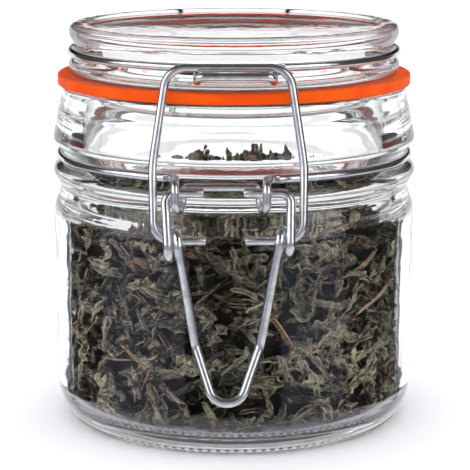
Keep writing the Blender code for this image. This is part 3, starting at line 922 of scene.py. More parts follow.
@dataclass
class NeckWire(BentWire):
    """The closed wire round the jar's neck, with its two eyelets, front bar and rear hinge frame."""

    ring: tuple[float, float] = (0.0439, 0.0674)
    ring_bend: float = 0.0024
    eyelet_x: dict[Side, float] = field(default_factory=lambda: {Side.LEFT: -0.0135, Side.RIGHT: 0.0076})
    eyelet_shift: float = 0.0016
    eyelet_heights: tuple[float, float] = (0.0613, 0.0683)
    eyelet_width: float = 0.0050
    pivot_y: float = -0.0493
    front_bar_height: float = 0.0662
    front_bar_bend: float = 0.0016
    hinge_bar: tuple[float, float] = (0.0474, 0.0860)
    hinge_half_width: float = 0.0192

    def eyelet(self, side: Side) -> list[Corner]:
        """Corners of the upright loop in which the lever turns.

        Args:
            side: Which of the two.

        Returns:
            Its corners, from the ring to the front bar.
        """
        outer = self.eyelet_x[side]
        inner = outer - side.value * self.eyelet_shift
        back = self.pivot_y + self.eyelet_width / 2
        front = self.pivot_y - self.eyelet_width / 2
        bend = self.eyelet_width / 2 - 0.00005
        bottom, top = self.eyelet_heights
        return [
            ((outer, front, top), bend),
            ((outer, front, bottom), bend),
            ((inner, back, bottom), bend),
            ((inner, back, self.front_bar_height), self.front_bar_bend),
        ]

    def build(self) -> bpy.types.Object:
        """The neck wire's piece."""
        left_front, left_angle = on_ring(self.ring, self.eyelet_x[Side.LEFT], True)
        right_front, right_angle = on_ring(self.ring, self.eyelet_x[Side.RIGHT], True)
        left_rear, left_rear_angle = on_ring(self.ring, -self.hinge_half_width, False)
        right_rear, right_rear_angle = on_ring(self.ring, self.hinge_half_width, False)
        bar_y, bar_z = self.hinge_bar
        middle_x = sum(self.eyelet_x.values()) / 2
        middle = (middle_x, self.pivot_y + self.eyelet_width / 2, self.front_bar_height)
        corners: list[Corner] = [(middle, 0.0), *reversed(self.eyelet(Side.RIGHT))]
        corners.append((right_front, self.ring_bend))
        corners += ring_arc(self.ring, right_angle, right_rear_angle, 76)
        corners.append((right_rear, self.ring_bend))
        for sign in (1, -1):
            x = sign * self.hinge_half_width
            upright = [((x, bar_y, z), self.ring_bend) for z in (self.ring[1], bar_z)]
            corners += upright if sign == 1 else reversed(upright)
        corners.append((left_rear, self.ring_bend))
        corners += ring_arc(self.ring, left_rear_angle, left_angle + 2 * math.pi, 72)
        corners += [(left_front, self.ring_bend), *self.eyelet(Side.LEFT), (middle, 0.0)]
        return self.form("neck_ring_wire", bent(corners)[:-1], cyclic=True)


@dataclass
class LidWire(BentWire):
    """The wire round the lid, with the hook at the front and its ends curled round the hinge bar."""

    ring: tuple[float, float] = (0.0408, 0.0931)
    hinge_bar: tuple[float, float] = (0.0474, 0.0860)
    eye_x: float = 0.0147
    eye_radius: float = 0.0024
    eye_turn: tuple[float, float, int] = (330, 60, 30)
    eye_lead: tuple[float, float] = (60, 0.0030)
    hook_x: dict[Side, float] = field(default_factory=lambda: {Side.LEFT: -0.0084, Side.RIGHT: 0.0092})
    hook_valley: tuple[float, float] = (-0.0434, 0.0902)
    hook_lip: tuple[float, float] = (-0.0464, 0.09175)
    hook_bend: float = 0.0018
    valley_bend: float = 0.0015

    def hinge_eye(self, side: Side) -> list[Corner]:
        """The curled end round the hinge bar and the straight that leads to the ring.

        Args:
            side: Which of the two.

        Returns:
            Its corners, from the cut end.
        """
        x = side.value * self.eye_x
        first, last, steps = self.eye_turn
        points: list[Corner] = []
        for i in range(steps + 1):
            angle = math.radians(first + (last - first) * i / steps)
            y = self.hinge_bar[0] + self.eye_radius * math.sin(angle)
            points.append(((x, y, self.hinge_bar[1] + self.eye_radius * math.cos(angle)), 0.0))
        _, start_y, start_z = points[-1][0]
        degrees, bend = self.eye_lead
        run = (self.ring[1] - start_z) / math.tan(math.radians(degrees))
        points.append(((x, start_y - run, self.ring[1]), bend))
        return points

    def build(self) -> bpy.types.Object:
        """The lid wire's piece."""
        left_rear, left_rear_angle = on_ring(self.ring, -self.eye_x, False)
        right_rear, right_rear_angle = on_ring(self.ring, self.eye_x, False)
        left_front, left_angle = on_ring(self.ring, self.hook_x[Side.LEFT], True)
        right_front, right_angle = on_ring(self.ring, self.hook_x[Side.RIGHT], True)
        corners = self.hinge_eye(Side.LEFT) + [(left_rear, self.hook_bend)]
        corners += ring_arc(self.ring, left_rear_angle, left_angle + 2 * math.pi, 80)
        corners.append((left_front, self.hook_bend))
        for side in Side:
            hook = [
                ((self.hook_x[side], *self.hook_valley), self.valley_bend),
                ((self.hook_x[side], *self.hook_lip), self.hook_bend),
            ]
            corners += hook if side is Side.LEFT else reversed(hook)
        corners.append((right_front, self.hook_bend))
        corners += ring_arc(self.ring, right_angle, right_rear_angle, 80)
        corners += [(right_rear, self.hook_bend), *reversed(self.hinge_eye(Side.RIGHT))]
        return self.form("lid_ring_wire", bent(corners))


@dataclass
class Lever(BentWire):
    """The lever: pivot stubs, arches, coils round the bail's ends and the thumb loop."""

    gauge: float = 0.0011
    pivot: tuple[float, float] = (-0.0493, 0.0653)
    stub_x: dict[Side, float] = field(default_factory=lambda: {Side.LEFT: -0.0069, Side.RIGHT: 0.0022})
    arch_x: dict[Side, float] = field(default_factory=lambda: {Side.LEFT: -0.0159, Side.RIGHT: 0.0132})
    arch_bend: float = 0.0024
    coil_centre_y: float = -0.0505
    coil_top: float = 0.0569
    coil_radius: dict[Side, float] = field(default_factory=lambda: {Side.LEFT: 0.0033, Side.RIGHT: 0.0027})
    coil_turn: tuple[float, float, int] = (-20, 368, 64)
    coil_outer_x: dict[Side, float] = field(default_factory=lambda: {Side.LEFT: -0.0152, Side.RIGHT: 0.0130})
    coil_inner_x: dict[Side, float] = field(default_factory=lambda: {Side.LEFT: -0.0127, Side.RIGHT: 0.0104})
    kink_x: dict[Side, float] = field(default_factory=lambda: {Side.LEFT: -0.0089, Side.RIGHT: 0.0060})
    kink: tuple[float, float] = (-0.0502, 0.0290)
    kink_bend: float = 0.0044
    loop_middle_x: float = -0.0016
    loop_half_width: float = 0.0031
    loop_bottom: tuple[float, float] = (-0.0550, 0.0169)
    loop_bend: float = 0.0040

    def half(self, side: Side) -> list[Corner]:
        """One half of the lever, from its pivot stub to the thumb loop.

        Args:
            side: Which half.

        Returns:
            Its corners.
        """
        radius = self.coil_radius[side]
        centre_z = self.coil_top - radius
        corners: list[Corner] = [
            ((self.stub_x[side], *self.pivot), 0.0),
            ((self.arch_x[side], *self.pivot), self.arch_bend),
        ]
        first, last, steps = self.coil_turn
        outer, inner = self.coil_outer_x[side], self.coil_inner_x[side]
        for i in range(steps + 1):
            degrees = first + (last - first) * i / steps
            angle = math.radians(degrees)
            x = outer + (inner - outer) * min(1.0, max(0.0, degrees / 360))
            y = self.coil_centre_y - radius * math.cos(angle)
            corners.append(((x, y, centre_z - radius * math.sin(angle)), 0.0))
        corners.append(((self.kink_x[side], *self.kink), self.kink_bend))
        foot_x = self.loop_middle_x + side.value * self.loop_half_width
        corners.append(((foot_x, *self.loop_bottom), self.loop_bend))
        return corners

    def build(self) -> bpy.types.Object:
        """The lever's piece."""
        return self.form("lever_wire", bent([*self.half(Side.LEFT), *reversed(self.half(Side.RIGHT))]))


@dataclass
class Bail(BentWire):
    """The bail: two stubs in the lever's coils, two legs and the bar that pulls the lid down."""

    pivot: tuple[float, float] = (-0.0505, 0.0543)
    stub_x: dict[Side, float] = field(default_factory=lambda: {Side.LEFT: -0.0064, Side.RIGHT: 0.0026})
    middle_x: float = -0.0013
    foot_half_width: float = 0.0172
    foot_bend: float = 0.0045
    waist: Point = (0.0175, -0.0477, 0.0712)
    waist_bend: float = 0.0300
    bar: Point = (0.0141, -0.0440, 0.0936)
    bar_bend: float = 0.0050

    def half(self, side: Side) -> list[Corner]:
        """One half of the bail, from its stub to the top bar.

        Args:
            side: Which half.

        Returns:
            Its corners.
        """
        sign = side.value
        return [
            ((self.stub_x[side], *self.pivot), 0.0),
            ((self.middle_x + sign * self.foot_half_width, *self.pivot), self.foot_bend),
            ((self.middle_x + sign * self.waist[0], *self.waist[1:]), self.waist_bend),
            ((self.middle_x + sign * self.bar[0], *self.bar[1:]), self.bar_bend),
        ]

    def build(self) -> bpy.types.Object:
        """The bail's piece."""
        return self.form("bail_wire", bent([*self.half(Side.LEFT), *reversed(self.half(Side.RIGHT))]))


# Tea.


def rotated(first: np.ndarray, second: np.ndarray, angle: np.ndarray) -> tuple[np.ndarray, np.ndarray]:
    """Turn two coordinates of each leaf's points by the leaf's own angle.

    Args:
        first: The coordinate that is turned from.
        second: The coordinate that is turned towards.
        angle: One angle for each leaf.

    Returns:
        The two turned coordinates.
    """
    cos, sin = np.cos(angle)[:, None], np.sin(angle)[:, None]
    return first * cos - second * sin, first * sin + second * cos


@dataclass
class LeafForm:
    """One dried leaf of unit length, from which many are made."""

    half_width: float
    roll: float
    twist: float
    bow: float
    ripple: float
    thickness: float
    hook: float = 0.0
    hook_start: float = 0.10
    hook_reach: float = 0.40
    cells: tuple[int, int] = (3, 11)

    def arrays(self) -> tuple[np.ndarray, np.ndarray, np.ndarray]:
        """Build the leaf as a closed thin shell.

        Returns:
            Its points, its place along and across for each point, and its four-cornered faces.
        """
        across_cells, along_cells = self.cells
        shape = bmesh.new()
        bmesh.ops.create_grid(shape, x_segments=along_cells, y_segments=across_cells, size=0.5)
        along = shape.verts.layers.float.new("along")
        across = shape.verts.layers.float.new("across")
        for vertex in shape.verts:
            vertex[along] = vertex.co.x + 0.5
            vertex[across] = vertex.co.y + 0.5
            self.curl(vertex)
        bmesh.ops.recalc_face_normals(shape, faces=shape.faces)
        bmesh.ops.solidify(shape, geom=shape.faces[:], thickness=self.thickness)
        bmesh.ops.recalc_face_normals(shape, faces=shape.faces)
        shape.verts.index_update()
        points = np.array([vertex.co[:] for vertex in shape.verts])
        place = np.array([(vertex[along], vertex[across]) for vertex in shape.verts])
        faces = np.array([[vertex.index for vertex in face.verts] for face in shape.faces])
        shape.free()
        return points, place, faces

    def curl(self, vertex: bmesh.types.BMVert) -> None:
        """Move one point of the flat sheet to where the dried leaf has it.

        The sheet tapers to both tips, rolls up across, ripples at its edges, twists and bows along its
        length, and may hook round at one tip.

        Args:
            vertex: The point, from -0.5 to 0.5 both ways.
        """
        x, y = vertex.co.x, vertex.co.y
        taper = (1 - (2 * abs(x)) ** 2.6) ** 0.6 if abs(x) < 0.5 else 0.0
        half = self.half_width * (0.12 + 0.88 * taper)
        turn = self.roll * 2 * y * (1 + 0.3 * math.sin(5 * x))
        flat = half * math.sin(turn) / self.roll
        rise = half * (1 - math.cos(turn)) / self.roll
        rise += self.ripple * half * (math.sin(17 * x + 3 * y) * abs(2 * y) + 0.5 * math.sin(29 * x))
        spin = self.twist * x
        side = flat * math.cos(spin) - rise * math.sin(spin)
        up = flat * math.sin(spin) + rise * math.cos(spin)
        sway = self.bow * (0.25 - x * x)
        side += sway * 0.6
        up += sway * 0.5 + 0.04 * self.bow * math.sin(9 * x)
        if self.hook and x > self.hook_start:
            radius = self.hook_reach / self.hook
            bend = (x - self.hook_start) / radius
            x = self.hook_start + (radius - up) * math.sin(bend)
            up = radius - (radius - up) * math.cos(bend)
        vertex.co = (x, side, up)


@dataclass
class LeafLot:
    """One kind of leaf in the tea, and how many of it lie in each bed."""

    name: str
    forms: list[LeafForm]
    counts: tuple[int, int, int]
    length: tuple[float, float]
    tone: tuple[float, float]
    seed: int


@dataclass(frozen=True)
class Lie:
    """How leaves lie in one bed: how far from the wall, how far they tilt and roll, and how high."""

    inset: float
    tip: float
    roll: float
    heights: tuple[float, float]


@dataclass
class TeaHeap:
    """The tea: a packed core, and the leaves that show against the glass, on top and underneath."""

    jar: GlassJar
    lots: list[LeafLot]
    lies: dict[Bed, Lie] = field(
        default_factory=lambda: {
            Bed.WALL: Lie(0.0003, 0.24, 0.75, (0.001, -0.0005)),
            Bed.TOP: Lie(0.0012, 0.28, 0.5, (-0.0012, 0.0014)),
            Bed.FLOOR: Lie(0.006, 0.06, 0.15, (0.0004, 0.0018)),
        }
    )
    top: float = 0.0510
    top_slack: tuple[float, float] = (-0.0012, 0.0008)
    top_room: tuple[float, float] = (0.0004, 0.0045)
    top_edge: tuple[float, float] = (0.0405, 0.006)
    wall_gap: float = 0.00022
    wall_lean: float = 0.75
    layer_depth: float = 0.0042
    layer_bias: float = 1.3
    core_gap: float = 0.0042
    core_floor: float = 0.0015
    core_top: float = 0.0016
    core_rises: int = 14
    core_steps: int = 128
    # Painted shade: how much darker a leaf's tone is made where it lies deep in the heap.
    shade: float = 0.60
    wave_height: float = 0.0010
    dome_height: float = 0.0030
    mound_place: tuple[float, float] = (0.033, -0.022)
    mound_height: float = 0.0034
    mound_spread: float = 0.010

    def surface(self, x: np.ndarray, y: np.ndarray) -> np.ndarray:
        """Height of the heap's uneven top.

        Args:
            x: Place across the jar.
            y: Place from front to back, from the jar's axis.

        Returns:
            The height there.
        """
        wave = np.sin(110 * x + 1.3) * np.cos(95 * y - 0.4) + 0.6 * np.sin(210 * (x + y))
        dome = self.dome_height * (1 - (x * x + y * y) / self.jar.cavity_radius ** 2)
        return self.top + self.wave_height * wave + dome + self.mound(x, y)

    def mound(self, x: np.ndarray, y: np.ndarray) -> np.ndarray:
        """How much higher the heap stands at its right front."""
        middle_x, middle_y = self.mound_place
        apart = (x - middle_x) ** 2 + (y - middle_y) ** 2
        return self.mound_height * np.exp(-apart / self.mound_spread ** 2)

    def core(self) -> bpy.types.Object:
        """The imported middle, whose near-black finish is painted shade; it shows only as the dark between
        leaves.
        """
        floor = self.jar.cavity_floor + self.core_floor
        profile = [(0.0, floor)]
        for share in (0.12, 0.3, 0.6, 1.0):
            height = floor + self.jar.cavity_heel[1] * share
            profile.append((float(self.jar.inner_radius(height)) - self.core_gap, height))
        edge = self.jar.cavity_radius - self.core_gap
        heel_top = profile[-1][1]
        rise = self.top - 2 * self.core_floor - heel_top
        profile += [(edge, heel_top + rise * (i + 1) / self.core_rises) for i in range(self.core_rises)]
        shares = [0.97] + [0.9 - 0.1 * i for i in range(9)] + [0.0]
        profile += [(edge * share, self.top - self.core_floor) for share in shares]
        piece = turned("tea_core", profile, self.core_steps)
        for vertex in piece.data.vertices:
            x, y, z = vertex.co.x, vertex.co.y - JAR_AXIS_Y, vertex.co.z
            angle = math.atan2(y, x)
            swell = 1 + 0.009 * math.sin(23 * angle + 900 * z) * math.sin(11 * angle - 600 * z)
            vertex.co.x, vertex.co.y = x * swell, y * swell + JAR_AXIS_Y
            if z > self.top - 1.3 * self.core_floor:
                vertex.co.z = float(self.surface(np.array(x), np.array(y))) - self.core_top
        return piece

    def keep_inside(self, points: np.ndarray) -> np.ndarray:
        """Press leaves that would reach the glass flat against it.

        Args:
            points: Points from the jar's axis.

        Returns:
            The points, all clear of the glass.
        """
        low = self.jar.cavity_floor + self.wall_gap
        points[..., 2] = np.maximum(points[..., 2], low)
        radius = np.hypot(points[..., 0], points[..., 1])
        most = self.jar.inner_radius(points[..., 2]) - self.wall_gap
        scale = np.minimum(1.0, most / np.maximum(radius, 1e-9))
        points[..., :2] *= scale[..., None]
        return points

    def against_wall(self, leaves: np.ndarray, rng: np.random.Generator) -> np.ndarray:
        """Lay leaves in the layers next to the wall, bent round with it.

        Args:
            leaves: Points of each leaf at full size, along x, across y and through z.
            rng: The lot's random draws.

        Returns:
            Points from the jar's axis.
        """
        lie = self.lies[Bed.WALL]
        count = len(leaves)
        lean = rng.normal(0.0, self.wall_lean, count)
        tip = rng.normal(0.0, lie.tip, count)
        roll = rng.normal(0.0, lie.roll, count)
        depth = lie.inset + self.layer_depth * rng.uniform(0.0, 1.0, count) ** self.layer_bias
        low, high = self.jar.cavity_floor + lie.heights[0], self.top + lie.heights[1]
        height = rng.uniform(low, high, count)
        angle = (np.arange(count) * GOLDEN_ANGLE + rng.uniform(-0.2, 0.2, count)) % math.tau
        x, y, z = (leaves[..., axis] for axis in range(3))
        y, z = rotated(y, z, roll)
        x, z = rotated(x, z, tip)
        run, rise = rotated(x, y, lean)
        edge = self.jar.cavity_radius
        mound = self.mound(edge * np.cos(angle), edge * np.sin(angle))
        limit = self.top + mound + rng.uniform(*self.top_slack, count)
        height -= np.maximum(0.0, height + rise.max(axis=1) - limit)
        up = height[:, None] + rise
        radius = self.jar.inner_radius(up) - depth[:, None] + z
        turn = angle[:, None] + run / self.jar.cavity_radius
        return self.keep_inside(np.stack([radius * np.cos(turn), radius * np.sin(turn), up], axis=-1))

    def lying(self, leaves: np.ndarray, rng: np.random.Generator, bed: Bed) -> np.ndarray:
        """Scatter leaves over the heap's top, or lay them flat on the glass floor.

        Args:
            leaves: Points of each leaf at full size.
            rng: The lot's random draws.
            bed: Which of the two.

        Returns:
            Points from the jar's axis.
        """
        lie = self.lies[bed]
        count = len(leaves)
        radius = (self.jar.cavity_radius - lie.inset) * np.sqrt(rng.uniform(0.0, 1.0, count))
        angle = rng.uniform(0.0, math.tau, count)
        turn = rng.uniform(0.0, math.tau, count)
        tip = rng.normal(0.0, lie.tip, count)
        roll = rng.normal(0.0, lie.roll, count)
        x, y, z = (leaves[..., axis] for axis in range(3))
        y, z = rotated(y, z, roll)
        x, z = rotated(x, z, tip)
        middle_x, middle_y = radius * np.cos(angle), radius * np.sin(angle)
        ground = self.surface(middle_x, middle_y) if bed is Bed.TOP else self.jar.cavity_floor
        base = ground + rng.uniform(*lie.heights, count)
        x, y = rotated(x, y, turn)
        points = np.stack([middle_x[:, None] + x, middle_y[:, None] + y, base[:, None] + z], axis=-1)
        if bed is Bed.TOP:
            reach = np.hypot(points[..., 0], points[..., 1])
            least, extra = self.top_room
            edge, fade = self.top_edge
            room = least + extra * np.clip((edge - reach) / fade, 0.0, 1.0)
            limit = self.top + self.mound(points[..., 0], points[..., 1]) + room
            above = np.maximum(0.0, (points[..., 2] - limit).max(axis=1))
            points[..., 2] -= above[:, None]
        return self.keep_inside(points)

    def sunk(self, points: np.ndarray) -> np.ndarray:
        """How deep points lie in the heap, where little light comes.

        Args:
            points: Points from the jar's axis.

        Returns:
            From 0 at the glass or on top to 1 at the core.
        """
        x, y, z = points[..., 0], points[..., 1], points[..., 2]
        from_wall = self.jar.inner_radius(z) - np.hypot(x, y)
        from_top = self.surface(x, y) + self.wave_height - z
        return np.clip(np.minimum(from_wall, from_top) / self.core_gap, 0.0, 1.0)

    def scatter(self, lot: LeafLot) -> bpy.types.Object:
        """Make every leaf of one lot and join them in one piece.

        Args:
            lot: The lot.

        Returns:
            The piece.
        """
        rng = np.random.default_rng(lot.seed)
        shapes = [form.arrays() for form in lot.forms]
        forms = np.stack([shape[0] for shape in shapes])
        place, faces = shapes[0][1], shapes[0][2]
        parts = []
        for count, bed in zip(lot.counts, Bed):
            length = rng.uniform(*lot.length, count)
            girth = rng.uniform(0.8, 1.2, count)
            leaves = forms[rng.integers(0, len(forms), count)] * length[:, None, None]
            leaves[..., 1:] *= girth[:, None, None]
            leaves[..., 2] *= rng.choice([-1.0, 1.0], count)[:, None]
            if bed is Bed.WALL:
                parts.append(self.against_wall(leaves, rng))
            else:
                parts.append(self.lying(leaves, rng, bed))
        points = np.concatenate(parts)
        # Painted shade: each leaf's own random tone is darkened where it lies deep, away from the glass and
        # the top.
        tones = rng.uniform(*lot.tone, len(points))[:, None] - self.shade * self.sunk(points)
        return self.joined(lot.name, points, place, faces, tones)

    def joined(
        self, name: str, points: np.ndarray, place: np.ndarray, faces: np.ndarray, tones: np.ndarray
    ) -> bpy.types.Object:
        """Join leaves of one build into one mesh, with each leaf's tone and its own map.

        Args:
            name: Name of the piece.
            points: Points of each leaf.
            place: Place along and across the leaf for each of its points.
            faces: The faces of one leaf.
            tones: Each leaf's own light or dark tone, darkened by painted shade where it lies deep, one
                number for each point of each leaf.

        Returns:
            The piece.
        """
        points[..., 1] += JAR_AXIS_Y
        count, size = points.shape[:2]
        starts = (np.arange(count) * size)[:, None, None]
        corners = (faces[None] + starts).reshape(-1)
        mesh = bpy.data.meshes.new(name)
        mesh.vertices.add(count * size)
        mesh.vertices.foreach_set("co", points.astype(np.float32).ravel())
        mesh.loops.add(len(corners))
        mesh.loops.foreach_set("vertex_index", corners.astype(np.int32))
        mesh.polygons.add(len(corners) // 4)
        mesh.polygons.foreach_set("loop_start", np.arange(0, len(corners), 4, dtype=np.int32))
        mesh.update(calc_edges=True)
        leaf_map = mesh.uv_layers.new(name="leaf")
        leaf_map.data.foreach_set("uv", np.tile(place, (count, 1))[corners].astype(np.float32).ravel())
        seeds = np.repeat(np.arange(count) * GOLDEN_SHARE % 1.0, size)
        for name_of_value, values in (("tone", tones), ("seed", seeds)):
            layer = mesh.attributes.new(name_of_value, "FLOAT", "POINT")
            layer.data.foreach_set("value", values.astype(np.float32).ravel())
        shape = bmesh.new()
        shape.from_mesh(mesh)
        bmesh.ops.recalc_face_normals(shape, faces=shape.faces)
        shape.to_mesh(mesh)
        shape.free()
        return placed(name, mesh)


def leaf_lots() -> list[LeafLot]:
    """The mix of the tea: mostly dark twisted leaf, some flat olive leaf and a few stems."""
    needles = [
        LeafForm(0.12, 1.9, 2.2, 0.22, 0.34, 0.020),
        LeafForm(0.15, 1.5, -1.6, 0.30, 0.44, 0.020, hook=2.6),
        LeafForm(0.10, 2.2, 3.4, -0.18, 0.30, 0.022, hook=1.2),
        LeafForm(0.16, 1.3, 1.3, 0.16, 0.50, 0.018, hook=1.8),
        LeafForm(0.13, 1.7, -2.8, -0.28, 0.40, 0.020),
        LeafForm(0.12, 2.3, 1.6, 0.36, 0.36, 0.022, hook=3.6),
    ]
    flakes = [
        LeafForm(0.24, 1.2, 1.1, 0.18, 0.56, 0.018, hook=1.4),
        LeafForm(0.20, 1.6, -1.5, 0.26, 0.60, 0.018),
        LeafForm(0.27, 1.0, 0.8, -0.14, 0.50, 0.018, hook=2.6),
        LeafForm(0.22, 1.9, 1.9, 0.22, 0.44, 0.018),
    ]
    stems = [
        LeafForm(0.045, 1.5, 0.6, 0.12, 0.05, 0.030),
        LeafForm(0.038, 1.4, 1.2, -0.08, 0.05, 0.030),
    ]
    return [
        LeafLot("tea_twists_dark", needles, (700, 220, 70), (0.006, 0.014), (0.15, 0.80), 3),
        LeafLot("tea_twists_olive", needles, (280, 90, 30), (0.006, 0.014), (0.30, 0.95), 5),
        LeafLot("tea_flakes_dark", flakes, (360, 110, 40), (0.0045, 0.010), (0.15, 0.85), 7),
        LeafLot("tea_flakes_olive", flakes, (130, 40, 14), (0.005, 0.012), (0.35, 1.05), 11),
        LeafLot("tea_bits_brown", flakes, (220, 60, 14), (0.0025, 0.0065), (0.30, 1.00), 17),
        LeafLot("tea_stems", stems, (64, 16, 6), (0.006, 0.014), (0.45, 1.05), 13),
    ]


def tea_finishes() -> dict[str, bpy.types.Material]:
    """The finish of each kind of leaf, by the last word of its lot's name, and of the core."""
    bump = (900.0, 5200.0, 0.5, 0.5, 0.0002)
    shades = {
        "dark": ("dark_tea_leaf", (0.020, 0.016, 0.012), (0.165, 0.140, 0.105), (0.430, 0.375, 0.280)),
        "olive": ("olive_tea_leaf", (0.026, 0.023, 0.015), (0.200, 0.178, 0.115), (0.48, 0.43, 0.29)),
        "stems": ("tea_stem", (0.05, 0.025, 0.012), (0.24, 0.135, 0.070), (0.50, 0.33, 0.19)),
        "brown": ("brown_tea_bit", (0.035, 0.016, 0.010), (0.19, 0.100, 0.060), (0.42, 0.27, 0.17)),
        # Painted shade: the core is near black, standing for the shade deep among the leaves.
        "core": ("shaded_tea", (0.003, 0.002, 0.002), (0.005, 0.004, 0.003), (0.010, 0.008, 0.006)),
    }
    return {
        kind: LeafFinish(name, *bump, dark=dark, middle=middle, pale=pale).make()
        for kind, (name, dark, middle, pale) in shades.items()
    }


# Studio.


@dataclass
class Studio:
    """The plain pale floor, the plain soft light and the camera.

    The light is all in the world, by direction: two large soft boxes beside the camera, a pale backdrop
    behind the jar, a dim room elsewhere. Angles are in degrees, from the camera's side or from the horizon.
    """

    floor_half: float = 4.0
    floor_height: float = -0.0001
    camera_place: Point = (0.00025, -0.49735, 0.1482)
    camera_tilt: float = 11.62
    lens: float = 152.7
    left_box: tuple[float, float] = (31.0, 92.0)
    right_box: tuple[float, float] = (30.0, 73.0)
    box_top: float = 48.0
    box_glow: float = 1.6
    low_box_glow: float = 0.50
    box_on_tea: float = 7.0
    backdrop_from: float = 140.0
    backdrop_top: float = 12.0
    backdrop_top_mirrored: float = 5.4
    steep: float = 24.0
    table_glow: float = 0.75
    side_glow: float = 0.06
    ceiling_glow: float = 0.10
    front_fill: float = 0.35
    front_fill_on_glass: float = 0.01
    front_fill_top: float = 30.0
    room: float = 0.008
    room_through_glass: float = 0.20
    high_through_glass: float = 0.06
    base_glow: float = 0.36
    veil_clear_to: float = 125.0
    plain_glow: float = 1.52
    light_colour: Colour = (0.975, 0.97, 1.0)
    low_box_colour: Colour = (0.74, 0.78, 1.0)
    light_turns: int = 32

    def floor(self) -> None:
        """The floor, a hair below the base."""
        shape = bmesh.new()
        bmesh.ops.create_grid(shape, x_segments=1, y_segments=1, size=self.floor_half)
        mesh = bpy.data.meshes.new("studio_floor")
        shape.to_mesh(mesh)
        shape.free()
        mesh.transform(Matrix.Translation((0.0, 0.0, self.floor_height)))
        piece = placed("studio_floor", mesh)
        paper = PaperFinish(
            "pale_floor", coarse=8.0, fine=60.0, fine_share=0.3, bump=0.02, bump_distance=0.001
        )
        piece.data.materials.append(paper.make())
        piece.visible_glossy = False

    def boxes(self, graph: Graph, azimuth: bpy.types.NodeSocket) -> bpy.types.NodeSocket:
        """A mask for the directions of the two soft boxes.

        Args:
            graph: The world's graph.
            azimuth: The direction's turn from the camera's side.

        Returns:
            The mask's socket.
        """
        left = graph.between(azimuth, -self.left_box[1], -self.left_box[0])
        right = graph.between(azimuth, *self.right_box)
        return graph.math("ADD", left, right)

    def backdrop(
        self, graph: Graph, path: bpy.types.Node, behind: bpy.types.NodeSocket, height: bpy.types.NodeSocket
    ) -> bpy.types.NodeSocket:
        """The backdrop's light, which stands higher where it is seen through glass than in a mirror image.

        Args:
            graph: The world's graph.
            path: Its Light Path node.
            behind: A mask for the directions behind the jar.
            height: The direction's angle above the horizon.

        Returns:
            The light's strength.
        """
        through_glass = graph.math("GREATER_THAN", path.outputs["Transmission Depth"], 0.5)
        extra = self.backdrop_top - self.backdrop_top_mirrored
        top = graph.math("MULTIPLY_ADD", through_glass, extra, self.backdrop_top_mirrored)
        return graph.math("MULTIPLY", behind, graph.between(height, -90.0, top))

    def front(
        self, graph: Graph, path: bpy.types.Node, away: bpy.types.NodeSocket, height: bpy.types.NodeSocket
    ) -> bpy.types.NodeSocket:
        """The fill from the camera's side, which the wires show and a smooth glass face hardly does.

        Args:
            graph: The world's graph.
            path: Its Light Path node.
            away: The direction's angle from the camera's side.
            height: The direction's angle above the horizon.

        Returns:
            The light's strength.
        """
        gap = self.front_fill_on_glass - self.front_fill
        fill = graph.math("MULTIPLY_ADD", path.outputs["Is Singular Ray"], gap, self.front_fill)
        fill = graph.math("MULTIPLY", graph.math("LESS_THAN", away, self.right_box[0]), fill)
        return graph.math("MULTIPLY", fill, graph.between(height, -self.steep, self.front_fill_top))

    def room_behind_glass(
        self,
        graph: Graph,
        path: bpy.types.Node,
        away: bpy.types.NodeSocket,
        behind: bpy.types.NodeSocket,
        height: bpy.types.NodeSocket,
    ) -> bpy.types.NodeSocket:
        """The room as it is seen through the glass.

        Args:
            graph: The world's graph.
            path: Its Light Path node.
            away: The direction's angle from the camera's side.
            behind: A mask for the directions behind the jar.
            height: The direction's angle above the horizon.

        Returns:
            The light's strength.
        """
        thrown_back = veil(graph, path)
        hidden = graph.math("MULTIPLY", thrown_back, graph.math("LESS_THAN", away, self.veil_clear_to))
        above = graph.math("MULTIPLY", behind, graph.math("GREATER_THAN", height, self.backdrop_top))
        base_gap = self.base_glow - self.high_through_glass
        high = graph.math("MULTIPLY_ADD", thrown_back, base_gap, self.high_through_glass)
        change = graph.math("SUBTRACT", high, self.room_through_glass)
        seen = graph.math("MULTIPLY_ADD", above, change, self.room_through_glass)
        seen = graph.math("MULTIPLY", path.outputs["Is Transmission Ray"], seen)
        direct = graph.math("LESS_THAN", path.outputs["Diffuse Depth"], 0.5)
        shown = graph.math("MULTIPLY", graph.math("SUBTRACT", 1.0, hidden), direct)
        return graph.math("MULTIPLY", seen, shown)

